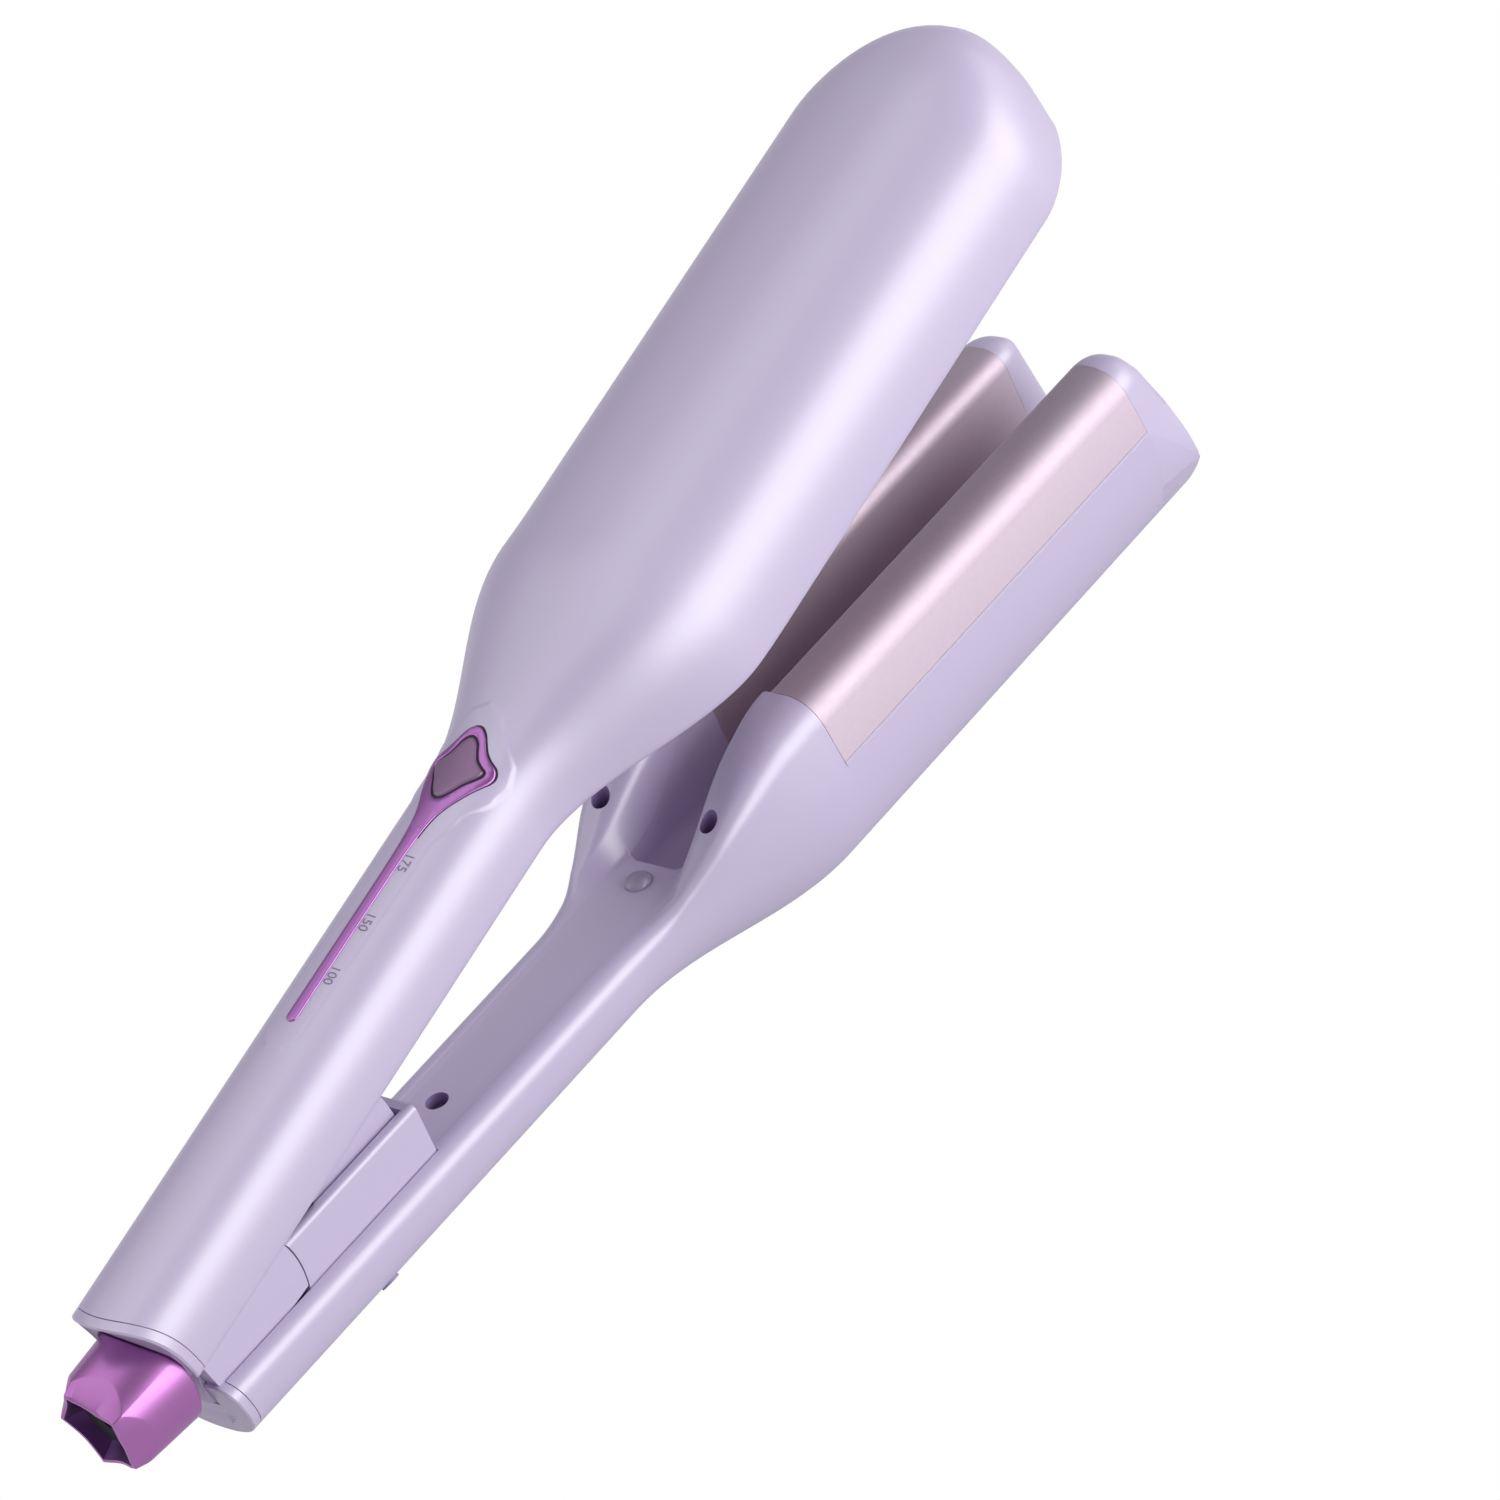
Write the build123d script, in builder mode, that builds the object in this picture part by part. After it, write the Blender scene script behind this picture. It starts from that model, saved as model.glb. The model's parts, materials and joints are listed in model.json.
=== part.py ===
"""Deep-wave hair waver: two hinged arms, a ridged lower jaw and a troughed upper jaw.

The lower arm lies level on its belly.  +X runs from the butt to the tips, +Z is up,
and the origin is on the table under the middle of the belly.  The upper arm is drawn
closed, level with the lower one, and each of its pieces is then swung open about the
hinge pin, which is how the spring holds it at rest.
"""
import math
import os

from build123d import *

os.makedirs("parts", exist_ok=True)

# ---- lengths along the arms: stations, measured from the butt ----------------
butt_x = -250.0             # where the butt lies in the part's own frame
rear_cap_length = 2.4       # end plates of both handles
seam = 0.1                  # visible joint line between two mouldings
hinge_s = 12.0              # hinge pin
knuckle_radius = 20.6       # rolling face of the upper arm's knuckle, about the pin
shoulder_start_s = 128.0    # handle begins to widen into the upper head
shoulder_end_s = 182.0
rim_dip_start_s = 125.0     # upper rim starts to drop towards the head
plate_start_s = 192.0
plate_length = 109.0
upper_overhang = 30.0       # upper tip past the plates' end
nose_lead = 3.0             # upper head begins to round off this far before it
lower_cap_length = 13.9
ridge_cap_length = 8.5      # the same at the top of the ridges
belly_start_s = 130.0       # lower handle begins to deepen into the belly
belly_end_s = 190.0
fairing_start_s = 146.0     # ridges rise out of the lower handle
pocket_start_s = 157.0      # groove pocket behind the plate

# ---- heights above the table -------------------------------------------------
face_z = 26.0               # inner face of the lower handle
closed_gap = 10.0           # between the two handle faces with the jaw shut
handle_depth = 17.0         # lower handle, face to back
handle_crown = 19.5         # upper handle, rim to crown
head_crown = 32.5           # upper head, rim to crown
head_rim_z = 31.0           # upper head's rim with the jaw shut
ridge_rim_z = 29.0          # lower head's side rim, where the plate ends
ridge_top_z = 45.0
groove_floor_z = 19.0
belly_cut = 1.0             # belly moulding is this much deeper than its flat
hinge_rise = 5.0            # pin above the lower handle's face
tail_rise = 6.2             # tail cap's axis above the lower handle's face

# ---- widths ------------------------------------------------------------------
handle_half = 13.4
upper_head_half = 31.5
lower_head_half = 25.6
ridge_foot_half = 25.2      # plate's outer edge
ridge_shoulder_half = 22.4
groove_top_half = 9.0
groove_bottom_half = 7.6
block_half = 9.8            # spring housing and knuckle
lug_half = 6.0              # hinge post between the knuckle's cheeks

# ---- walls, skins and clearances ---------------------------------------------
shell_wall = 2.4
lower_wall = 2.8
cover_wall = 2.0
plate_wall = 1.5            # aluminium heat plates
hair_gap = 1.5              # between the plates with the jaw shut
fit = 0.15                  # between mouldings that locate in one another
turn_gap = 0.35             # between faces that move past one another
pin_clearance = 0.05
play = 0.05                 # under screw heads and round plugs
root = 0.5                  # bosses and posts run this far into what they stand on
poke = 1.0                  # cuts begin this far outside the face they open
reach = 60.0                # cuts run this far, past anything they meet
skirt_reach = 20.0          # plain cutting forms run this far past the rim

# ---- section shapes ----------------------------------------------------------
crown_power = 2.4           # fullness of the rounded sections
nose_half_power = 1.65      # fullness of the upper head's tip, from above
nose_height_power = 3.0     # and from the side
arc_points = 10
shaping_steps = 8           # sections along a stretch that changes shape
lip_height = 2.0            # bevel along the upper arm's rim
lip_tuck = 1.2
handle_lip_radius = 4.5     # rounding along the lower handle's rim
head_lip_radius = 0.4
ridge_outer_radius = 8.0
ridge_inner_radius = 5.2
groove_radius = 6.2
tip_blunt = 0.6             # the rounded nose ends in a small flat
fairing_power = 2.2         # how fast the fairings lift
fairing_spread = 2.0        # further apart where they begin
fairing_gather = 22.0       # length over which they draw together
fairing_steps = 14
first_lift = 0.02           # lift of their first section, as a share
outer_round_low = 0.9       # edge roundings, as shares of the fairing's own height
outer_round_high = 0.5
inner_round_low = 0.6
inner_round_high = 0.325
round_limit = 0.95          # share of the crest that both roundings may take
cap_rounding = 4.6
cap_slant_z = 20.0          # end face of the lower jaw leans back above this
end_radius = 0.7            # smallest bend in the lower jaw's closed end

# ---- power button, light wand ------------------------------------------------
strip_start_s = 68.0
strip_half = 1.35
flare_start_s = 106.0       # strip begins to widen towards the star
neck_s = 119.5
neck_half = 2.6
flare_root = 5.4            # flare ends this far behind the star's centre
flare_root_half = 5.0
star_centre_s = 130.5
star_length = 9.6           # centre to tip, along the arm
star_half = 8.4             # centre to tip, across the arm
star_waist = 0.88           # middle of a side, as a share of where a straight side has it
star_tip_radius = 1.6
star_waist_radius = 5.0
bezel_along = 2.08          # bezel's width at the tips along the arm
bezel_across = 1.84
wand_proud = 0.3
wand_depth = 1.5
button_proud = 0.9
button_travel = 0.8
button_gap = 0.25
button_flange = 0.8         # flange under the bezel that keeps the button in
button_flange_height = 1.4
switch_stem = 0.8           # height of the switch's own plunger
switch_stem_radius = 1.6
switch_half = 3.0
board_thickness = 1.6
board_half = 8.6
board_post_radius = 2.0
led_half_length = 1.0
led_half_width = 0.8
led_height = 0.9

# ---- tail and cord swivel ----------------------------------------------------
tail_radius = 12.2
tail_length = 18.0
tail_gap = 1.5              # tail cap stands off the butt by this much
tail_wall = 1.8
tail_lobes = 5
lobe_turn = 105.0           # one lobe, round from +Y
petal_reach = 7.6           # centres of the lobes' rounds, from the tail's axis
petal_radius = 7.6
petal_end_reach = 5.2       # the same on the end face
petal_end_radius = 4.6
petal_length = 5.0          # bevelled length at the end
mouth_reach = 4.4
mouth_radius = 3.6
tail_end_wall = 3.0
spigot_radius = 5.9
cord_bore_radius = 2.6
swivel_stem_radius = 4.2
swivel_head_radius = 6.6
swivel_head_length = 9.0
swivel_head_s = -6.0        # its shoulder, behind the spigot's end
swivel_collar_s = 3.0       # ring that holds the swivel in the hinge post
swivel_collar_end_s = 4.4
swivel_collar_radius = 4.8
tail_room = 0.5             # round the tail cap and the cord

# ---- fasteners and small parts -----------------------------------------------
opening_angle = 12.5
pin_radius = 2.0
pin_wall = 1.7              # one cheek is closed over the pin's end by this much
screw_radius = 1.1
screw_head_radius = 2.0
screw_head_height = 1.4
screw_length = 6.0
boss_radius = 2.7
bumper_radius = 3.0
bumper_s = 151.0
bumper_height = 1.8
foot_radius = 2.2
foot_s = 50.0
foot_angle = 38.0           # round the handle's back from straight down
foot_proud = 0.6
foot_depth = 1.6
wire_radius = 0.8
wire_spread = 4.0
lower_wire_spread = 6.6
lower_wire_start_s = 31.0
lower_wire_rise = 2.0       # leads above the standing place of the hinge post
spring_s = 52.0
spring_radius = 4.2
spring_wire = 0.6
spring_pitch = 4.7
spring_turns = 6
heater_margin = 8.0         # heaters stop this far inside the plates' ends
heater_thickness = 3.2
upper_heater_half = 4.0
lower_heater_half = 3.1
heater_room = 0.2
heater_sink = 1.6           # lower heaters lie this far under the plate's back
carrier_floor_z = 6.0       # lower plate carrier stops above the keel
heater_offset = 0.7         # heaters sit this far outside the ridges' middles
channel_half = 17.0         # wiring channel over the upper plate
channel_rise = 5.0
channel_height = 6.0
channel_margin = 4.0
fuse_radius = 1.8
fuse_length = 13.0
thermostat_half = 4.0
thermostat_length = 18.0
thermostat_height = 4.4

# ---- hinge frame, housing and covers -----------------------------------------
frame_rise = 6.0            # frame's underside above the upper handle's face
frame_thickness = 2.5
frame_half = 9.3
frame_rear_s = 3.2
frame_overhang = 3.6        # frame past the spring housing
frame_seat_room = 0.7       # its front screw past the housing
tongue_start_s = 44.0
tongue_radius = 57.3        # tongue's front face, about the pin
tongue_half = 7.1
tongue_drop = 3.2           # its underside below the lower handle's face
tongue_wall = 1.9
tongue_back_wall = 1.5
tongue_front_wall = 4.3
knuckle_end_s = 40.0
knuckle_low_z = 20.8        # under the knuckle, front, middle and rear
knuckle_low_s = 30.0
knuckle_middle_z = 21.6
knuckle_middle_s = 14.0
knuckle_rear_z = 23.6
knuckle_chamfer = 1.6
housing_start_s = 20.0
housing_wall = 2.0
housing_sink = 6.4          # housing's underside below the lower handle's face
housing_rise = 2.0          # housing's top above the upper handle's face, jaw shut
housing_edge = 1.5
housing_foot_half = 4.8
housing_foot_s = 36.0
seat_depth = 2.6            # plastic under a screw head
lug_floor = 4.6             # standing place of post and housing above the handle's back
post_foot = 2.4             # hinge post's foot
post_rear_s = 5.2
post_neck_s = 3.0
post_front_s = 30.0
post_step_s = 22.0
post_shoulder_s = 19.0
post_top_s = 14.0
post_top_z = 37.0
post_slot_half = 4.0
post_slot_end_s = 17.0
post_slot_top_z = 34.4
spigot_end_s = -5.5
wire_slot_half = 2.6
wire_slot_height = 4.0
cover_rise = 2.2            # top of the upper inner cover above the handle's face
cover_seat_rise = 1.0
tray_gap = 1.0              # roof over the lower jaw's fairings
plate_room = 0.5
frame_room = 0.4
rib_half = 1.0
stop_gap = 0.3
prong_root_length = 23.5    # where the prong leaves the tray, before the cover's end
prong_root_run = 8.0
prong_root_radius = 14.0
prong_nose_radius = 10.0
prong_heel_radius = 0.3
cheek_inner_half = 20.0
board_rise = 9.6            # board above the upper handle's face
switch_rise = 3.2           # top of the switch's plunger above the board
lower_cover_sink = 0.2
lower_cover_thickness = 2.3
lower_cover_room = 0.3
lower_cover_seat = 4.0      # screw seat below the lower handle's face
lower_boss_gap = 1.5
fairing_screw_s = 162.0
fairing_screw_y = 14.9
fairing_seat_z = 29.8
fairing_boss_z = 27.4
well_wall = 1.6
hollow_start = 14.0         # fairings are solid for this length
recess_depth = 0.5          # worn oval round the bumper
recess_length = 12.0
recess_half = 3.6
bumper_socket = 1.4
bumper_edge = 1.7
rear_plug = 2.6
rear_plug_wall = 1.2

# ---- derived places ----------------------------------------------------------
upper_face_z = face_z + closed_gap
hinge_z = face_z + hinge_rise
tail_z = face_z + tail_rise
plate_end_s = plate_start_s + plate_length
cap_start_s = plate_end_s + seam
upper_tip = plate_end_s + upper_overhang
nose_start_s = plate_end_s - nose_lead
lower_tip = cap_start_s + lower_cap_length
trough_top_z = ridge_top_z + hair_gap
crest_middle = (ridge_shoulder_half - ridge_outer_radius + groove_top_half + ridge_inner_radius) / 2
heater_y = crest_middle + heater_offset
prong_bottom_z = groove_floor_z + hair_gap
housing_top_z = upper_face_z + housing_rise
housing_floor_z = face_z - housing_sink
housing_end_s = hinge_s + tongue_radius + poke + housing_wall
frame_z = upper_face_z + frame_rise
frame_end_s = housing_end_s + frame_overhang
tongue_bottom_z = face_z - tongue_drop
lug_seat_z = face_z - handle_depth + lug_floor
cover_top_z = upper_face_z + cover_rise
cover_seat_z = upper_face_z + cover_seat_rise
tray_z = trough_top_z + tray_gap
board_z = upper_face_z + board_rise
board_top_z = board_z + board_thickness
switch_top_z = board_z + switch_rise
board_start_s = frame_end_s + 1.6
board_posts = (board_start_s + 20.0, board_start_s + 50.0)
mark_stations = (board_start_s + 2.7, board_start_s + 15.7, board_start_s + 30.0)
frame_screws = (37.0, housing_end_s + frame_seat_room)
cover_screws = (board_start_s + 9.5, fairing_start_s - 3.0)
lower_cover_screw_s = housing_end_s + 11.7
lower_cover_seat_z = face_z - lower_cover_seat
post_screws = (8.4, 26.5)
housing_screws = (40.0, housing_end_s - 8.3)
fairing_places = [(fairing_screw_s, side * fairing_screw_y) for side in (-1, 1)]
heater_start_s = plate_start_s + heater_margin
heater_end_s = plate_end_s - heater_margin
hinge_axis = Axis((butt_x + hinge_s, 0, hinge_z), (0, 1, 0))


# ---- planes ------------------------------------------------------------------
def across(s):
    """Plane across the arms at station s: its x is +Y and its y is +Z."""
    return Plane(origin=(butt_x + s, 0, 0), x_dir=(0, 1, 0), z_dir=(1, 0, 0))


def along(y=0.0):
    """Upright plane along the arms: its x is the station and its y is +Z, facing -Y."""
    return Plane(origin=(butt_x, y, 0), x_dir=(1, 0, 0), z_dir=(0, -1, 0))


def level(z):
    """Level plane: its x is the station and its y is +Y."""
    return Plane(origin=(butt_x, 0, z), x_dir=(1, 0, 0), z_dir=(0, 0, 1))


def opened(piece):
    """Swings a piece of the upper arm from the closed jaw to its place at rest."""
    return piece.rotate(hinge_axis, -opening_angle)


# ---- form of the arms --------------------------------------------------------
def ease(s, start, end):
    """0 before start, 1 after end, and a smooth rise between them."""
    t = min(max((s - start) / (end - start), 0.0), 1.0)
    return t * t * (3 - 2 * t)


def steps(start, end, count):
    """Evenly spaced stations from start to end, both included."""
    return [start + (end - start) * i / count for i in range(count + 1)]


def upper_rim(s):
    return upper_face_z + (head_rim_z - upper_face_z) * ease(s, rim_dip_start_s, plate_start_s)


def nose(s, inset):
    """Share of the way from the head's straight part to its tip."""
    return max(0.0, (s - nose_start_s) / (upper_tip - inset - nose_start_s))


def upper_half(s, inset):
    widening = ease(s, shoulder_start_s, shoulder_end_s)
    half = handle_half + (upper_head_half - handle_half) * widening - inset
    return half * (1 - nose(s, inset) ** nose_half_power) ** (1 / nose_half_power)


def upper_height(s, inset):
    rising = ease(s, shoulder_start_s, shoulder_end_s)
    height = handle_crown + (head_crown - handle_crown) * rising - inset
    return height * (1 - nose(s, inset) ** nose_height_power) ** (1 / nose_height_power)


def lower_rim(s):
    return face_z + (ridge_rim_z - face_z) * ease(s, belly_start_s, belly_end_s)


def lower_half(s, inset):
    widening = ease(s, belly_start_s, belly_end_s)
    return handle_half + (lower_head_half - handle_half) * widening - inset


def lower_depth(s, inset):
    deepening = ease(s, belly_start_s, belly_end_s)
    head_depth = ridge_rim_z + belly_cut
    return handle_depth + (head_depth - handle_depth) * deepening - inset


def lip_radius(s):
    fading = ease(s, belly_start_s, fairing_start_s + 6)
    return handle_lip_radius + (head_lip_radius - handle_lip_radius) * fading


def round_points(half, height, power=crown_power, count=arc_points):
    """Points over a full, rounded arch, from (half, 0) to (-half, 0)."""
    points = []
    for i in range(count + 1):
        turn = math.pi * i / count
        across_share = math.copysign(abs(math.cos(turn)) ** (2 / power), math.cos(turn))
        points.append((half * across_share, height * math.sin(turn) ** (2 / power)))
    return points


def crown_section(s, inset=0.0, skirt=None):
    """Section of the upper arm, lipped.  With a skirt it is plain, and runs that far past the rim."""
    half = upper_half(s, inset)
    rim = upper_rim(s)
    lip = lip_height * upper_half(s, 0.0) / upper_head_half if skirt is None else 0.0
    tuck = min(lip_tuck, half / 4) if skirt is None else 0.0
    spring_z = rim + lip
    arch = [(y, spring_z + z) for y, z in round_points(half, upper_height(s, inset) - lip)]
    foot = [(-half, spring_z), (half, spring_z)]
    if lip or skirt:
        foot_z = rim - (skirt or 0.0)
        foot[1:1] = [(tuck - half, foot_z), (half - tuck, foot_z)]
    with BuildSketch(across(s)) as section:
        with BuildLine():
            Spline(arch, tangents=((0, 1), (0, -1)))
            Polyline(*foot)
        make_face()
    return section.sketch


def keel_section(s, inset=0.0, collar=0.0):
    """Section of the lower arm.  A collar runs straight up past the rim, for cutting."""
    half = lower_half(s, inset)
    rim = lower_rim(s)
    lip = 0.0 if collar else lip_radius(s)
    keel = [(y, rim - lip - z) for y, z in round_points(half, lower_depth(s, inset) - lip)]
    with BuildSketch(across(s)) as section:
        with BuildLine():
            Spline(keel, tangents=((0, -1), (0, 1)))
            if collar:
                Polyline((-half, rim), (-half, rim + collar), (half, rim + collar), (half, rim))
            else:
                corner = (half - lip, rim)
                Spline((half, rim - lip), corner, tangents=((0, 1), (-1, 0)))
                Line(corner, (-corner[0], rim))
                Spline((-corner[0], rim), (-half, rim - lip), tangents=((-1, 0), (0, -1)))
        make_face()
    return section.sketch


def stretches(start, end, breaks):
    """Splits start to end at the stations where the arm's shape changes in kind."""
    inside = [s for s in breaks if start < s < end]
    places = [start] + inside + [end]
    return list(zip(places[:-1], places[1:]))


def crown_form(start, end, inset=0.0, skirt=None):
    """Solid form of the upper arm between two stations."""
    with BuildPart() as form:
        for low, high in stretches(start, end, (rim_dip_start_s, plate_start_s, nose_start_s)):
            straight = high <= rim_dip_start_s or plate_start_s <= low < high <= nose_start_s
            for s in steps(low, high, 1 if straight else shaping_steps):
                add(crown_section(s, inset, skirt))
            loft()
    return form.part


def keel_form(start, end, inset=0.0, collar=0.0):
    """Solid form of the lower arm between two stations."""
    with BuildPart() as form:
        for low, high in stretches(start, end, (belly_start_s, belly_end_s)):
            straight = high <= belly_start_s or low >= belly_end_s
            for s in steps(low, high, 1 if straight else shaping_steps):
                add(keel_section(s, inset, collar))
            loft()
    return form.part


def inside_crown(start, end):
    """What fits inside the upper shell between two stations, down to its rim."""
    return crown_form(start, end, shell_wall + fit, 0)


# ---- hair-side outlines of the jaws ------------------------------------------
def both_sides(left):
    return left + [(-y, z) for y, z in reversed(left)]


def ridge_points(t=0.0):
    """Corners of the lower jaw's two ridges, t inside the metal's outer face."""
    return both_sides([
        (-(ridge_foot_half - t), ridge_rim_z + seam),
        (-(ridge_shoulder_half - t), ridge_top_z - t),
        (-(groove_top_half + t), ridge_top_z - t),
        (-(groove_bottom_half + t), groove_floor_z - t),
    ])


def ridge_radii(t=0.0):
    half = [ridge_outer_radius - t, ridge_inner_radius - t, groove_radius + t]
    return half + half[::-1]


def trough_points(t=0.0):
    """Corners of the upper jaw's two troughs, t behind the metal's outer face."""
    out = hair_gap + t
    return both_sides([
        (-(ridge_foot_half + out), head_rim_z + lip_height),
        (-(ridge_shoulder_half + out), ridge_top_z + out),
        (-(groove_top_half - out), ridge_top_z + out),
        (-(groove_bottom_half - out), groove_floor_z + out),
    ])


def trough_radii(t=0.0):
    out = hair_gap + t
    half = [ridge_outer_radius + out, ridge_inner_radius + out, groove_radius - out]
    return half + half[::-1]


def sheet_section(points, radii, s, t):
    """Section of a bent metal plate, from its face at 0 to its back at t."""
    with BuildSketch(across(s)) as section:
        with BuildLine():
            face = FilletPolyline(points(0), radius=radii(0))
            back = FilletPolyline(points(t), radius=radii(t))
            Line(face @ 0, back @ 0)
            Line(face @ 1, back @ 1)
        make_face()
    return section.sketch


def below_ridges(s, t=0.0, floor=0.0):
    """Area under the ridge outline, t inside it, down to a floor."""
    points = ridge_points(t)
    with BuildSketch(across(s)) as section:
        with BuildLine():
            line = FilletPolyline(points, radius=ridge_radii(t))
            Polyline(line @ 1, (points[-1][0], floor), (points[0][0], floor), line @ 0)
        make_face()
    return section.sketch


def below_troughs(s, t=0.0, floor=0.0):
    """Area under the trough outline, t behind it, down to a floor."""
    points = trough_points(t)
    with BuildSketch(across(s)) as section:
        with BuildLine():
            line = FilletPolyline(points, radius=trough_radii(t))
            Polyline(line @ 1, (points[-1][0], floor), (points[0][0], floor), line @ 0)
        make_face()
    return section.sketch


def groove_block(start, end, t, top_z):
    """The groove as a solid bar, t larger than the gap between the ridges, up to a height."""
    slope = (groove_top_half - groove_bottom_half) / (ridge_top_z - groove_floor_z)
    top_half = groove_bottom_half + slope * (top_z - groove_floor_z) + t
    floor_half = groove_bottom_half + t
    floor_z = groove_floor_z - t
    with BuildSketch(across(start)) as section:
        with BuildLine():
            line = FilletPolyline(
                (-top_half, top_z), (-floor_half, floor_z), (floor_half, floor_z), (top_half, top_z),
                radius=groove_radius + t)
            Line(line @ 1, line @ 0)
        make_face()
    with BuildPart() as block:
        extrude(section.sketch, amount=end - start, dir=(1, 0, 0))
    return block.part


def star_outline(s, length, half):
    """Four-pointed star with curved-in sides, its tips rounded, on a level sketch."""
    tips = [(s + length, 0), (s, half), (s - length, 0), (s, -half)]
    waists = []
    for tip, ahead in zip(tips, tips[1:] + tips[:1]):
        middle_s = (tip[0] + ahead[0]) / 2
        middle_y = (tip[1] + ahead[1]) / 2
        waists.append((s + (middle_s - s) * star_waist, middle_y * star_waist))
    with BuildSketch() as outline:
        with BuildLine():
            for i in range(len(tips)):
                Line(tips[i], waists[i])
                Line(waists[i], tips[(i + 1) % len(tips)])
        make_face()
        for places, radius in ((tips, star_tip_radius), (waists, star_waist_radius)):
            corners = [v for v in outline.vertices() if nearest(v, places) < seam]
            fillet(corners, radius)
    return outline.sketch


def nearest(corner, places):
    return min(math.dist((corner.X, corner.Y), place) for place in places)


def slab(section, depth, mode=Mode.ADD):
    """Extrudes a section by depth along the arm."""
    extrude(section, amount=depth, dir=(1, 0, 0), mode=mode)


def side_sheet(points):
    """Flat outline in the upright plane along the arms."""
    with BuildSketch(along()) as sheet:
        with BuildLine():
            Polyline(*points, close=True)
        make_face()
    return sheet.sketch


def box_between(s0, s1, y0, y1, z0, z1, mode=Mode.ADD):
    """Block between two stations, two widths and two heights."""
    with BuildSketch(level(z0)) as base:
        with Locations(((s0 + s1) / 2, (y0 + y1) / 2)):
            Rectangle(s1 - s0, y1 - y0)
    extrude(base.sketch, amount=z1 - z0, mode=mode)


def post(s, y, z0, z1, radius, mode=Mode.ADD):
    """Upright round post, or its hole."""
    with BuildSketch(level(z0)) as base:
        with Locations((s, y)):
            Circle(radius)
    extrude(base.sketch, amount=z1 - z0, mode=mode)


def rod(y, z, s0, s1, radius, mode=Mode.ADD):
    """Round bar or bore along the arms."""
    with BuildSketch(across(s0)) as base:
        with Locations((y, z)):
            Circle(radius)
    extrude(base.sketch, amount=s1 - s0, mode=mode)


def drive_screws(places, up):
    """Pan-head screws.  A place is (station, y, height of the seat under the head)."""
    for s, y, seat in places:
        post(s, y, seat, seat - up * screw_head_height, screw_head_radius)
        post(s, y, seat, seat + up * screw_length, screw_radius)


# ---- upper arm ---------------------------------------------------------------
def wand_outline(grow=0.0):
    """Star bezel that tapers into a long strip, from above."""
    flare = [(flare_start_s, strip_half), (neck_s, neck_half), (star_centre_s - flare_root, flare_root_half)]
    with BuildSketch(level(board_z)) as outline:
        add(star_outline(star_centre_s, star_length, star_half))
        with BuildLine():
            Polyline(flare + [(s, -y) for s, y in reversed(flare)], close=True)
        make_face()
        with Locations(((strip_start_s + neck_s) / 2, 0)):
            SlotOverall(neck_s - strip_start_s, 2 * strip_half)
        if grow:
            offset(amount=grow)
    return outline.sketch


def star_hole(grow=0.0, z=board_z):
    """Opening in the bezel that the power button moves in."""
    with BuildSketch(level(z)) as outline:
        add(star_outline(star_centre_s, star_length - bezel_along + grow, star_half - bezel_across + grow))
    return outline.sketch


inner_tip_s = upper_tip - shell_wall - tip_blunt - 2 * seam
with BuildPart() as upper_shell:
    add(crown_form(rear_cap_length + seam, upper_tip - tip_blunt))
    add(crown_form(-poke, inner_tip_s, shell_wall, skirt_reach), mode=Mode.SUBTRACT)
    slab(below_troughs(cap_start_s), upper_tip - cap_start_s, Mode.SUBTRACT)
    upper_bosses = [(s, frame_z + frame_thickness) for s in frame_screws]
    upper_bosses += [(s, cover_top_z) for s in cover_screws]
    for s, seat_z in upper_bosses:
        post(s, 0, seat_z + seam, upper_rim(s) + upper_height(s, shell_wall) + root, boss_radius)
        post(s, 0, seat_z, seat_z + screw_length + root, screw_radius + fit, Mode.SUBTRACT)
    extrude(wand_outline(seam), amount=reach, mode=Mode.SUBTRACT)
upper_shell.part = opened(upper_shell.part)
upper_shell.part.label = "upper_shell"
export_step(upper_shell.part, "parts/upper_shell.step")

with BuildPart() as upper_rear_cap:
    add(crown_form(0, rear_cap_length))
    notch_radius = tail_radius + tail_room
    notch_rise = hinge_s * math.sin(math.radians(opening_angle)) + tail_room + seam
    with BuildSketch(across(-poke)) as notch:
        with Locations((0, tail_z), (0, tail_z + notch_rise)):
            Circle(notch_radius)
        with Locations((0, tail_z + notch_rise / 2)):
            Rectangle(2 * notch_radius, notch_rise)
    extrude(amount=reach, mode=Mode.SUBTRACT)
upper_rear_cap.part = opened(upper_rear_cap.part)
upper_rear_cap.part.label = "upper_rear_cap"
export_step(upper_rear_cap.part, "parts/upper_rear_cap.step")

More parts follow.
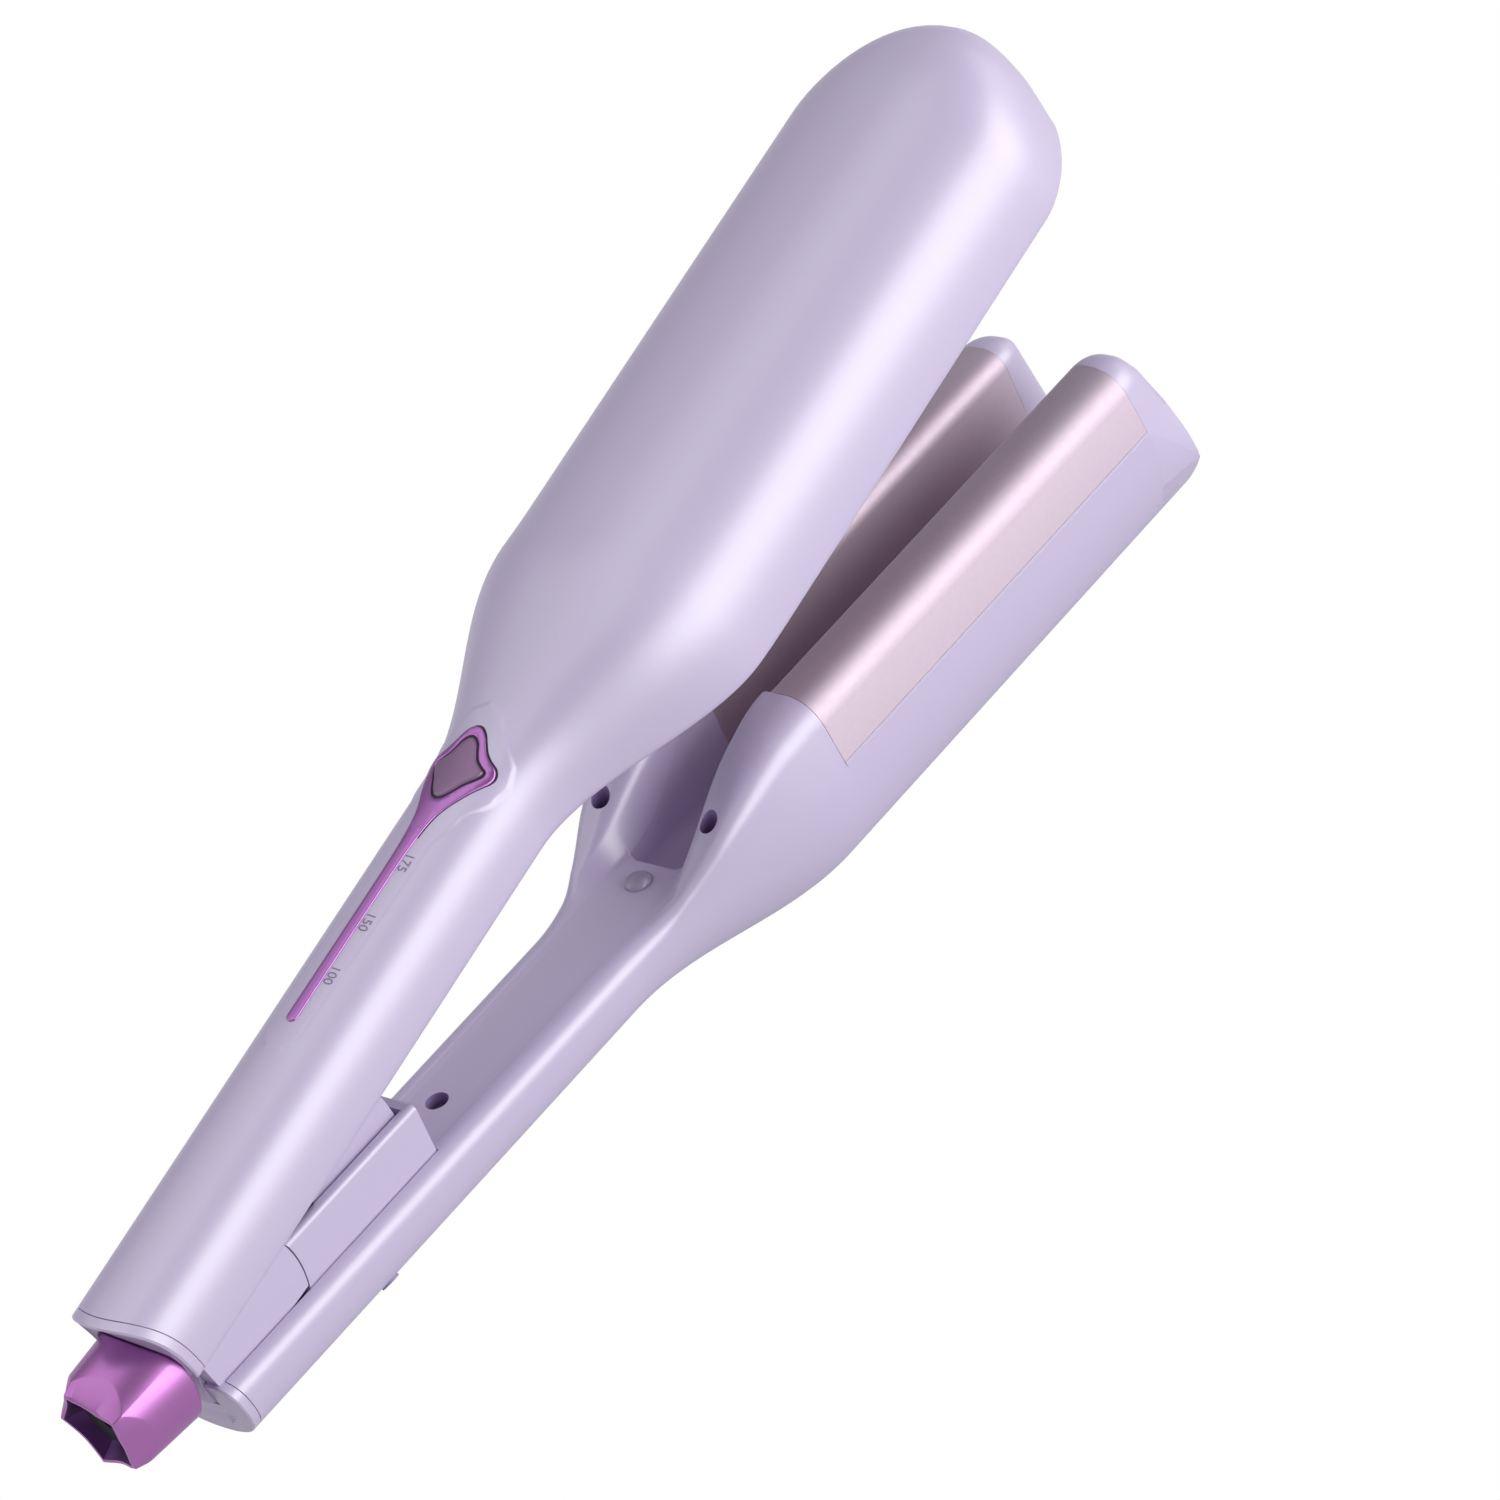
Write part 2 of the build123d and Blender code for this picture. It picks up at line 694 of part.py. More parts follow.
with BuildPart() as upper_inner_cover:
    cover_start_s = frame_end_s + frame_room
    cover_end_s = plate_start_s - plate_room
    tray_wall_s = fairing_start_s + poke
    add(inside_crown(cover_start_s, cover_end_s))
    band = [
        (cover_start_s, 0), (tray_wall_s + cover_wall, 0), (tray_wall_s + cover_wall, tray_z),
        (cover_end_s, tray_z), (cover_end_s, tray_z + cover_wall),
        (tray_wall_s, tray_z + cover_wall), (tray_wall_s, cover_top_z), (cover_start_s, cover_top_z),
    ]
    extrude(side_sheet(band), amount=reach, both=True, mode=Mode.INTERSECT)
    root_s = cover_end_s - prong_root_length
    with BuildSketch(along()) as prong_side:
        with BuildLine():
            line = FilletPolyline(
                (root_s, tray_z + root), (root_s + prong_root_run, prong_bottom_z),
                (cover_end_s, prong_bottom_z), (cover_end_s, tray_z + root),
                radius=(prong_root_radius, prong_heel_radius))
            Line(line @ 1, line @ 0)
        make_face()
    with BuildPart(mode=Mode.PRIVATE) as prong_root:
        extrude(prong_side.sketch, amount=reach, both=True)
        add(groove_block(root_s - poke, cover_end_s, -hair_gap - seam, tray_z + root), mode=Mode.INTERSECT)
    add(prong_root.part)
    stop_bottom_z = face_z + bumper_height + stop_gap
    post(bumper_s, 0, stop_bottom_z, tray_z + root, bumper_radius - frame_room)
    box_between(tray_wall_s, bumper_s, -rib_half, rib_half, cover_top_z, tray_z + root)
    for s in board_posts:
        post(s, 0, cover_top_z - root, board_z - seam, board_post_radius)
    for s in cover_screws:
        post(s, 0, face_z, cover_top_z + poke, screw_radius + fit, Mode.SUBTRACT)
        post(s, 0, face_z, cover_seat_z, screw_head_radius + fit, Mode.SUBTRACT)
upper_inner_cover.part = opened(upper_inner_cover.part)
upper_inner_cover.part.label = "upper_inner_cover"
export_step(upper_inner_cover.part, "parts/upper_inner_cover.step")

with BuildPart() as upper_heat_plate:
    slab(sheet_section(trough_points, trough_radii, plate_start_s, plate_wall), plate_length)
upper_heat_plate.part = opened(upper_heat_plate.part)
upper_heat_plate.part.label = "upper_heat_plate"
export_step(upper_heat_plate.part, "parts/upper_heat_plate.step")

with BuildPart() as upper_plate_carrier:
    add(inside_crown(plate_start_s, plate_end_s))
    slab(below_troughs(plate_start_s - poke, plate_wall + fit), plate_length + 2 * poke, Mode.SUBTRACT)
    back_z = trough_top_z + plate_wall
    bay_half = upper_heater_half + heater_room
    bay_top_z = back_z + heater_thickness + 2 * fit
    for side in (-1, 1):
        y = side * heater_y
        box_between(heater_start_s - heater_room, heater_end_s + heater_room,
                    y - bay_half, y + bay_half, head_rim_z, bay_top_z, Mode.SUBTRACT)
    channel_z = back_z + channel_rise
    box_between(plate_start_s + channel_margin, plate_end_s - channel_margin,
                -channel_half, channel_half, channel_z, channel_z + channel_height, Mode.SUBTRACT)
upper_plate_carrier.part = opened(upper_plate_carrier.part)
upper_plate_carrier.part.label = "upper_plate_carrier"
export_step(upper_plate_carrier.part, "parts/upper_plate_carrier.step")

with BuildPart() as upper_heaters:
    for side in (-1, 1):
        y = side * heater_y
        box_between(heater_start_s, heater_end_s, y - upper_heater_half, y + upper_heater_half,
                    back_z + seam, back_z + seam + heater_thickness)
upper_heaters.part = opened(upper_heaters.part)
upper_heaters.part.label = "upper_heaters"
export_step(upper_heaters.part, "parts/upper_heaters.step")

with BuildPart() as thermal_fuse:
    fuse_start_s = heater_start_s + 1.5 * heater_margin
    rod(0, channel_z + fuse_radius + seam, fuse_start_s, fuse_start_s + fuse_length, fuse_radius)
thermal_fuse.part = opened(thermal_fuse.part)
thermal_fuse.part.label = "thermal_fuse"
export_step(thermal_fuse.part, "parts/thermal_fuse.step")

with BuildPart() as upper_front_cap:
    prong_front_s = inner_tip_s - seam
    add(crown_form(cap_start_s, prong_front_s, shell_wall + fit, skirt_reach))
    slab(below_troughs(cap_start_s - poke), upper_tip - cap_start_s, Mode.SUBTRACT)
    for y0, y1 in ((-reach, -cheek_inner_half), (cheek_inner_half, reach)):
        box_between(cap_start_s - poke, upper_tip, y0, y1, 0, head_rim_z, Mode.SUBTRACT)
    over_z = head_rim_z + reach
    with BuildSketch(along()) as prong_side:
        with BuildLine():
            line = FilletPolyline(
                (cap_start_s, over_z), (cap_start_s, prong_bottom_z), (prong_front_s, prong_bottom_z),
                (prong_front_s, over_z), radius=(prong_heel_radius, prong_nose_radius))
            Line(line @ 1, line @ 0)
        make_face()
    extrude(prong_side.sketch, amount=reach, both=True, mode=Mode.INTERSECT)
upper_front_cap.part = opened(upper_front_cap.part)
upper_front_cap.part.label = "upper_front_cap"
export_step(upper_front_cap.part, "parts/upper_front_cap.step")

with BuildPart() as upper_hinge_frame:
    box_between(frame_rear_s, frame_end_s, -frame_half, frame_half, frame_z, frame_z + frame_thickness)
    cheek = [
        (frame_rear_s, frame_z + poke), (frame_rear_s, knuckle_rear_z), (knuckle_middle_s, knuckle_middle_z),
        (knuckle_low_s, knuckle_low_z), (knuckle_end_s, knuckle_low_z), (knuckle_end_s, frame_z + poke),
    ]
    with BuildSketch(along()) as knuckle_side:
        with BuildLine():
            Polyline(*cheek, close=True)
        make_face()
        with Locations((hinge_s, hinge_z)):
            Circle(knuckle_radius, mode=Mode.INTERSECT)
    with BuildPart(mode=Mode.PRIVATE) as knuckle:
        extrude(knuckle_side.sketch, amount=block_half, both=True)
        side_edges = [e for e in knuckle.edges() if abs(e.center().Y) > block_half - seam]
        chamfer([e for e in side_edges if e.center().Z <= knuckle_rear_z], knuckle_chamfer)
        box_between(-poke, knuckle_end_s, -lug_half - turn_gap, lug_half + turn_gap,
                    0, frame_z, Mode.SUBTRACT)
    add(knuckle.part)
    tongue_s = hinge_s + tongue_radius
    with BuildPart(mode=Mode.PRIVATE) as tongue:
        with BuildSketch(along()):
            with BuildLine():
                Polyline((tongue_start_s, tongue_bottom_z), (tongue_s + poke, tongue_bottom_z),
                         (tongue_s + poke, frame_z + root), (tongue_start_s, frame_z + root), close=True)
            make_face()
            with Locations((hinge_s, hinge_z)):
                Circle(tongue_radius, mode=Mode.INTERSECT)
        extrude(amount=tongue_half, both=True)
        well_half = tongue_half - tongue_wall
        box_between(tongue_start_s + tongue_back_wall, tongue_s - tongue_front_wall,
                    -well_half, well_half, 0, frame_z, Mode.SUBTRACT)
    add(tongue.part)
    with BuildSketch(along(pin_wall - block_half)) as bore:
        with Locations((hinge_s, hinge_z)):
            Circle(pin_radius + pin_clearance)
    extrude(bore.sketch, amount=-reach, mode=Mode.SUBTRACT)
    for s in frame_screws:
        post(s, 0, face_z, frame_z + frame_thickness + poke, screw_radius + fit, Mode.SUBTRACT)
upper_hinge_frame.part = opened(upper_hinge_frame.part)
upper_hinge_frame.part.label = "upper_hinge_frame"
export_step(upper_hinge_frame.part, "parts/upper_hinge_frame.step")

wand_low_s = strip_start_s - 2 * wand_depth
wand_high_s = star_centre_s + star_length + 2 * wand_depth
with BuildPart() as light_wand:
    add(crown_form(wand_low_s, wand_high_s, -wand_proud))
    add(crown_form(wand_low_s - poke, wand_high_s + poke, wand_depth), mode=Mode.SUBTRACT)
    extrude(wand_outline(), amount=reach, mode=Mode.INTERSECT)
    extrude(star_hole(), amount=reach, mode=Mode.SUBTRACT)
light_wand.part = opened(light_wand.part)
light_wand.part.label = "light_wand"
export_step(light_wand.part, "parts/light_wand.step")

with BuildPart() as power_button:
    add(crown_form(star_centre_s - star_length, star_centre_s + star_length, -button_proud))
    button_bottom_z = switch_top_z + button_travel + seam
    extrude(star_hole(-button_gap, button_bottom_z), amount=reach, mode=Mode.INTERSECT)
    with BuildPart(mode=Mode.PRIVATE) as flange:
        extrude(star_hole(button_flange, button_bottom_z), amount=button_flange_height)
    add(flange.part)
power_button.part = opened(power_button.part)
power_button.part.label = "power_button"
export_step(power_button.part, "parts/power_button.step")

with BuildPart() as control_board:
    board_end_s = star_centre_s + board_half
    box_between(board_start_s, board_end_s, -board_half, board_half, board_z, board_top_z)
    post(cover_screws[0], 0, board_z - poke, board_top_z + poke, boss_radius + frame_room, Mode.SUBTRACT)
control_board.part = opened(control_board.part)
control_board.part.label = "control_board"
export_step(control_board.part, "parts/control_board.step")

with BuildPart() as tact_switch:
    stem_z = switch_top_z - switch_stem
    box_between(star_centre_s - switch_half, star_centre_s + switch_half,
                -switch_half, switch_half, board_top_z, stem_z)
    post(star_centre_s, 0, stem_z, switch_top_z, switch_stem_radius)
tact_switch.part = opened(tact_switch.part)
tact_switch.part.label = "tact_switch"
export_step(tact_switch.part, "parts/tact_switch.step")

with BuildPart() as indicator_leds:
    for s in mark_stations:
        box_between(s - led_half_length, s + led_half_length, -led_half_width, led_half_width,
                    board_top_z, board_top_z + led_height)
indicator_leds.part = opened(indicator_leds.part)
indicator_leds.part.label = "indicator_leds"
export_step(indicator_leds.part, "parts/indicator_leds.step")

with BuildPart() as light_pipes:
    pipe_top_z = upper_face_z + handle_crown - wand_depth - 2 * seam
    for s in mark_stations:
        post(s, 0, board_top_z + led_height + seam, pipe_top_z, strip_half - button_gap)
light_pipes.part = opened(light_pipes.part)
light_pipes.part.label = "light_pipes"
export_step(light_pipes.part, "parts/light_pipes.step")

with BuildPart() as upper_leads:
    lead_z = tray_z + cover_wall + wire_radius + seam
    for y in (-wire_spread, wire_spread):
        rod(y, lead_z, board_end_s + root, plate_start_s - root, wire_radius)
upper_leads.part = opened(upper_leads.part)
upper_leads.part.label = "upper_leads"
export_step(upper_leads.part, "parts/upper_leads.step")

with BuildPart() as upper_screws:
    drive_screws([(s, 0, frame_z - play) for s in frame_screws], up=1)
    drive_screws([(s, 0, cover_seat_z - play) for s in cover_screws], up=1)
upper_screws.part = opened(upper_screws.part)
upper_screws.part.label = "upper_screws"
export_step(upper_screws.part, "parts/upper_screws.step")

# ---- lower arm ---------------------------------------------------------------
def flat_belly():
    """Takes off what lies below the table."""
    box_between(-reach, upper_tip + reach, -reach, reach, -reach, 0, Mode.SUBTRACT)


def keel_reach(angle):
    """Distance from the handle's middle to its back, angle degrees round from straight down."""
    sideways = math.sin(math.radians(angle)) / handle_half
    downward = math.cos(math.radians(angle)) / (handle_depth - handle_lip_radius)
    return (sideways ** crown_power + downward ** crown_power) ** (-1 / crown_power)


def foot_plug(low, high, radius):
    """Round plug square to the handle's back, between two distances from its middle."""
    turn = math.radians(foot_angle)
    outward = (0, -math.sin(turn), -math.cos(turn))
    middle_z = face_z - handle_lip_radius
    start = Plane(
        origin=(butt_x + foot_s, outward[1] * low, middle_z + outward[2] * low),
        x_dir=(1, 0, 0), z_dir=outward)
    with BuildPart() as plug:
        with BuildSketch(start):
            Circle(radius)
        extrude(amount=high - low)
    return plug.part


post_seat_z = lug_seat_z + post_foot
housing_seat_z = lug_seat_z + seat_depth
# screws of the lower arm: station, side, seat under the head, top of the boss
lower_screw_places = [(s, 0, post_seat_z, lug_seat_z - seam) for s in post_screws]
lower_screw_places += [(s, 0, housing_seat_z, lug_seat_z - seam) for s in housing_screws]
lower_screw_places += [(lower_cover_screw_s, 0, lower_cover_seat_z, lower_cover_seat_z - lower_boss_gap)]
lower_screw_places += [(s, y, fairing_seat_z, fairing_boss_z) for s, y in fairing_places]

with BuildPart() as lower_shell:
    add(keel_form(rear_cap_length + seam, plate_end_s))
    add(keel_form(-poke, plate_end_s + poke, lower_wall, reach), mode=Mode.SUBTRACT)
    for s, y, seat_z, top_z in lower_screw_places:
        with BuildPart(mode=Mode.PRIVATE) as boss:
            post(s, y, 0, top_z, boss_radius)
        near_wall = keel_form(s - 2 * boss_radius, s + 2 * boss_radius, poke)
        add(boss.part & near_wall)
        post(s, y, seat_z - screw_length - seam, top_z + poke, screw_radius + fit, Mode.SUBTRACT)
    flat_belly()
    socket_low = keel_reach(foot_angle) - foot_depth - seam
    add(foot_plug(socket_low, socket_low + reach, foot_radius + play), mode=Mode.SUBTRACT)
lower_shell.part.label = "lower_shell"
export_step(lower_shell.part, "parts/lower_shell.step")

with BuildPart() as foot_stud:
    foot_low = keel_reach(foot_angle) - foot_depth
    add(foot_plug(foot_low, keel_reach(foot_angle) + foot_proud, foot_radius))
foot_stud.part.label = "foot_stud"
export_step(foot_stud.part, "parts/foot_stud.step")

with BuildPart() as lower_rear_cap:
    add(keel_form(0, rear_cap_length))
    add(keel_form(rear_cap_length, rear_cap_length + rear_plug, lower_wall + fit, poke))
    plug_inset = lower_wall + fit + rear_plug_wall
    add(keel_form(rear_cap_length, rear_cap_length + rear_plug + poke, plug_inset, reach), mode=Mode.SUBTRACT)
    box_between(rear_cap_length, rear_cap_length + rear_plug + poke, -reach, reach,
                housing_floor_z, reach, Mode.SUBTRACT)
lower_rear_cap.part.label = "lower_rear_cap"
export_step(lower_rear_cap.part, "parts/lower_rear_cap.step")


def fairing_rise(s):
    along_share = (s - fairing_start_s) / (plate_start_s - fairing_start_s)
    return 1 - (1 - max(along_share, first_lift)) ** fairing_power


def fairing_section(s, side, inset, base_z):
    """Section of one fairing, which lifts from the handle's face to the ridge."""
    rise = fairing_rise(s)
    rim = lower_rim(s) + seam
    outer = lower_half(s, 0) - lip_radius(s) - inset
    parted = fairing_spread * (1 - ease(s, fairing_start_s, fairing_start_s + fairing_gather))
    inner = groove_top_half + parted + fit + inset
    top = rim + (ridge_top_z - ridge_rim_z) * rise - inset
    wall = lower_half(s, lower_wall + 3 * fit) - inset
    lean = ridge_foot_half - ridge_shoulder_half
    shelf = rim + inset
    height = top - shelf
    slope = (groove_top_half - groove_bottom_half) / (ridge_top_z - groove_floor_z)
    points = [
        (wall, base_z), (wall, shelf), (outer, shelf), (outer - lean * rise, top),
        (inner, top), (inner - slope * (top - base_z), base_z),
    ]
    outer_round = outer_round_low + (outer_round_high - outer_round_low) * rise
    inner_round = inner_round_low + (inner_round_high - inner_round_low) * rise
    radii = (height * outer_round, height * inner_round)
    squeeze = min(1.0, round_limit * (outer - lean * rise - inner) / sum(radii))
    with BuildSketch(across(s)) as section:
        with BuildLine():
            line = FilletPolyline(points[2:], radius=[r * squeeze for r in radii])
            Polyline(line @ 1, points[0], points[1], points[2])
        make_face()
        if side < 0:
            mirror(about=Plane.YZ, mode=Mode.REPLACE)
    return section.sketch


def fairing_form(side, start, end, inset, base_z):
    with BuildPart() as form:
        for s in steps(start, end, fairing_steps):
            add(fairing_section(s, side, inset, base_z))
        loft()
    return form.part


cover_plate_z = face_z - lower_cover_sink
cover_back_z = cover_plate_z - lower_cover_thickness
lower_cover_start_s = housing_end_s + lower_cover_room
lower_cover_end_s = plate_start_s - seam
with BuildPart() as lower_inner_cover:
    add(keel_form(lower_cover_start_s, lower_cover_end_s, lower_wall + fit, skirt_reach))
    plate_band = [
        (lower_cover_start_s, cover_back_z), (lower_cover_end_s, cover_back_z),
        (lower_cover_end_s, cover_plate_z), (lower_cover_start_s, cover_plate_z),
    ]
    extrude(side_sheet(plate_band), amount=reach, both=True, mode=Mode.INTERSECT)
    for side in (-1, 1):
        add(fairing_form(side, fairing_start_s, lower_cover_end_s, 0, cover_back_z))
    for side in (-1, 1):
        hollow = fairing_form(side, fairing_start_s + hollow_start, lower_cover_end_s - cover_wall,
                              cover_wall, cover_back_z - poke)
        add(hollow, mode=Mode.SUBTRACT)
    head_bore = screw_head_radius + heater_room
    well_bottom_z = lower_rim(fairing_screw_s + screw_head_radius + well_wall) + 2 * seam
    for s, y in fairing_places:
        post(s, y, well_bottom_z, fairing_seat_z + 2 * cover_wall, screw_head_radius + well_wall)
        post(s, y, cover_back_z - poke, well_bottom_z, boss_radius + fit, Mode.SUBTRACT)
    add(groove_block(pocket_start_s - cover_wall, lower_cover_end_s, cover_wall, cover_plate_z))
    add(groove_block(pocket_start_s, lower_cover_end_s + poke, 0, ridge_top_z), mode=Mode.SUBTRACT)
    post(lower_cover_screw_s, 0, lower_cover_seat_z - lower_boss_gap + seam, cover_plate_z,
         screw_head_radius + well_wall)
    for s, y, seat_z, boss_z in lower_screw_places[len(post_screws + housing_screws):]:
        post(s, y, seat_z, seat_z + reach, head_bore, Mode.SUBTRACT)
        post(s, y, seat_z - screw_length, seat_z + poke, screw_radius + fit, Mode.SUBTRACT)
    with BuildSketch(level(cover_plate_z - recess_depth)) as recess:
        with Locations((bumper_s - recess_length / 6, 0)):
            SlotOverall(recess_length, 2 * recess_half)
    extrude(recess.sketch, amount=poke, mode=Mode.SUBTRACT)
    post(bumper_s, 0, cover_plate_z - bumper_socket, face_z + poke, bumper_radius + play, Mode.SUBTRACT)
lower_inner_cover.part.label = "lower_inner_cover"
export_step(lower_inner_cover.part, "parts/lower_inner_cover.step")

with BuildPart() as closing_bumper:
    post(bumper_s, 0, cover_plate_z - bumper_socket + play, face_z + bumper_height, bumper_radius)
    fillet(closing_bumper.edges().sort_by(Axis.Z)[-1], bumper_edge)
closing_bumper.part.label = "closing_bumper"
export_step(closing_bumper.part, "parts/closing_bumper.step")

with BuildPart() as lower_heat_plate:
    slab(sheet_section(ridge_points, ridge_radii, plate_start_s, plate_wall), plate_length)
lower_heat_plate.part.label = "lower_heat_plate"
export_step(lower_heat_plate.part, "parts/lower_heat_plate.step")

heater_top_z = ridge_top_z - plate_wall - heater_sink
heater_low_z = heater_top_z - heater_thickness
thermostat_start_s = (plate_start_s + plate_end_s - thermostat_length) / 2 - poke
thermostat_top_z = groove_floor_z - plate_wall - seam
thermostat_low_z = thermostat_top_z - thermostat_height
with BuildPart() as lower_plate_carrier:
    add(keel_form(plate_start_s, plate_end_s, lower_wall + fit, reach))
    slab(below_ridges(plate_start_s - poke, plate_wall + fit), plate_length + 2 * poke, Mode.INTERSECT)
    box_between(plate_start_s - poke, plate_end_s + poke, -reach, reach, -reach, carrier_floor_z,
                Mode.SUBTRACT)
    bay_half = lower_heater_half + heater_room
    for side in (-1, 1):
        y = side * heater_y
        box_between(heater_start_s - heater_room, heater_end_s + heater_room,
                    y - bay_half, y + bay_half, heater_low_z - 2 * fit, ridge_top_z, Mode.SUBTRACT)
    bay_half = thermostat_half + heater_room
    box_between(thermostat_start_s - poke, thermostat_start_s + thermostat_length + poke,
                -bay_half, bay_half, thermostat_low_z - root, groove_floor_z, Mode.SUBTRACT)
lower_plate_carrier.part.label = "lower_plate_carrier"
export_step(lower_plate_carrier.part, "parts/lower_plate_carrier.step")

with BuildPart() as lower_heaters:
    for side in (-1, 1):
        y = side * heater_y
        box_between(heater_start_s, heater_end_s, y - lower_heater_half, y + lower_heater_half,
                    heater_low_z, heater_top_z)
lower_heaters.part.label = "lower_heaters"
export_step(lower_heaters.part, "parts/lower_heaters.step")

with BuildPart() as thermostat:
    box_between(thermostat_start_s, thermostat_start_s + thermostat_length,
                -thermostat_half, thermostat_half, thermostat_low_z, thermostat_top_z)
thermostat.part.label = "thermostat"
export_step(thermostat.part, "parts/thermostat.step")


def cap_section(s, t):
    """Closed end section of the lower jaw: ridges above, keel below, t inside."""
    half = lower_head_half - t
    keel = [(y, ridge_rim_z - z) for y, z in round_points(half, lower_depth(plate_end_s, t))]
    radii = [max(end_radius, r) for r in ridge_radii(t)]
    with BuildSketch(across(s)) as section:
        with BuildLine():
            top = FilletPolyline(ridge_points(t), radius=radii)
            Line(top @ 1, keel[0])
            Spline(keel, tangents=((0, -1), (0, 1)))
            Line(keel[-1], top @ 0)
        make_face()
    return section.sketch


with BuildPart() as lower_front_cap:
    for turn in steps(0, math.pi / 2, shaping_steps):
        rounding = cap_rounding * (1 - math.cos(turn))
        add(cap_section(cap_start_s + lower_cap_length * math.sin(turn), rounding))
    loft(ruled=True)
    lean = [
        (cap_start_s + ridge_cap_length, ridge_top_z), (lower_tip, cap_slant_z), (lower_tip + poke, cap_slant_z),
        (lower_tip + poke, ridge_top_z + poke), (cap_start_s + ridge_cap_length, ridge_top_z + poke),
    ]
    extrude(side_sheet(lean), amount=reach, both=True, mode=Mode.SUBTRACT)
    flat_belly()
lower_front_cap.part.label = "lower_front_cap"
export_step(lower_front_cap.part, "parts/lower_front_cap.step")

with BuildPart() as spring_housing:
    box_between(housing_start_s, housing_end_s, -block_half, block_half, housing_floor_z, housing_top_z)
    top_edges = spring_housing.edges().group_by(Axis.Z)[-1].filter_by(Axis.X)
    fillet(top_edges, housing_edge)
    inner_half = block_half - housing_wall
    box_between(housing_foot_s - poke, housing_end_s - housing_wall, -inner_half, inner_half,
                housing_floor_z + housing_wall, reach, Mode.SUBTRACT)
    with BuildPart(mode=Mode.PRIVATE) as swing:
        with BuildSketch(along()):
            with Locations((hinge_s, hinge_z)):
                Circle(knuckle_radius + turn_gap)
        extrude(amount=reach, both=True)
    add(swing.part, mode=Mode.SUBTRACT)
    box_between(housing_foot_s, housing_end_s - tongue_front_wall, -housing_foot_half, housing_foot_half,
                lug_seat_z, housing_floor_z + root)
    for s in housing_screws:
        post(s, 0, 0, face_z, screw_radius + fit, Mode.SUBTRACT)
        post(s, 0, housing_seat_z, face_z, screw_head_radius + heater_room, Mode.SUBTRACT)
spring_housing.part.label = "spring_housing"
export_step(spring_housing.part, "parts/spring_housing.step")

with BuildPart() as hinge_post:
    tower = [
        (post_rear_s, lug_seat_z), (post_front_s, lug_seat_z), (post_front_s, post_seat_z),
        (post_step_s, post_seat_z), (post_shoulder_s, face_z), (post_shoulder_s - poke, hinge_z + pin_radius),
        (post_top_s, post_top_z), (post_neck_s, post_top_z), (post_neck_s, face_z - lug_floor),
        (post_rear_s, housing_floor_z),
    ]
    extrude(side_sheet(tower), amount=lug_half, both=True)
    rod(0, tail_z, spigot_end_s, post_rear_s, spigot_radius)
    box_between(post_rear_s + heater_room, post_slot_end_s, -post_slot_half, post_slot_half,
                post_seat_z, post_slot_top_z, Mode.SUBTRACT)
    box_between(post_slot_end_s - poke, post_front_s, -wire_slot_half, wire_slot_half,
                post_seat_z, post_seat_z + wire_slot_height, Mode.SUBTRACT)
    rod(0, tail_z, swivel_collar_s - heater_room, post_rear_s + poke, swivel_collar_radius + heater_room,
        Mode.SUBTRACT)
    rod(0, tail_z, spigot_end_s - poke, swivel_collar_s + poke, swivel_stem_radius + play, Mode.SUBTRACT)
    with BuildSketch(along(reach)) as pin_bore:
        with Locations((hinge_s, hinge_z)):
            Circle(pin_radius + pin_clearance)
    extrude(pin_bore.sketch, amount=2 * reach, mode=Mode.SUBTRACT)
    for s in post_screws:
        post(s, 0, 0, housing_floor_z, screw_radius + fit, Mode.SUBTRACT)
hinge_post.part.label = "hinge_post"
export_step(hinge_post.part, "parts/hinge_post.step")

with BuildPart() as hinge_pin:
    with BuildSketch(along(block_half)) as pin_end:
        with Locations((hinge_s, hinge_z)):
            Circle(pin_radius)
    extrude(pin_end.sketch, amount=2 * block_half - pin_wall - 2 * seam)
hinge_pin.part.label = "hinge_pin"
export_step(hinge_pin.part, "parts/hinge_pin.step")


def flower(s, middle_reach, lobe_radius):
    """Five overlapping round lobes about the tail's axis."""
    with BuildSketch(across(s)) as outline:
        for i in range(tail_lobes):
            turn = math.radians(lobe_turn + 360 * i / tail_lobes)
            with Locations((middle_reach * math.cos(turn), tail_z + middle_reach * math.sin(turn))):
                Circle(lobe_radius)
        with Locations((0, tail_z)):
            Circle(middle_reach)
    return outline.sketch


tail_start_s = -tail_gap
tail_end_s = tail_start_s - tail_length
with BuildPart() as tail_cap:
    rod(0, tail_z, tail_end_s, tail_start_s, tail_radius)
    with BuildPart(mode=Mode.PRIVATE) as petals:
        add(flower(tail_end_s, petal_end_reach, petal_end_radius))
        add(flower(tail_end_s + petal_length, petal_reach, petal_radius))
        loft(ruled=True)
        rod(0, tail_z, tail_end_s + petal_length, tail_start_s + poke, 2 * tail_radius)
    add(petals.part, mode=Mode.INTERSECT)
    rod(0, tail_z, tail_end_s + tail_end_wall, tail_start_s - tail_wall, tail_radius - tail_wall,
        Mode.SUBTRACT)
    slab(flower(tail_end_s - poke, mouth_reach, mouth_radius), tail_end_wall + 2 * poke, Mode.SUBTRACT)
    rod(0, tail_z, tail_start_s - tail_wall - poke, tail_start_s + poke, spigot_radius + play,
        Mode.SUBTRACT)
tail_cap.part.label = "tail_cap"
export_step(tail_cap.part, "parts/tail_cap.step")

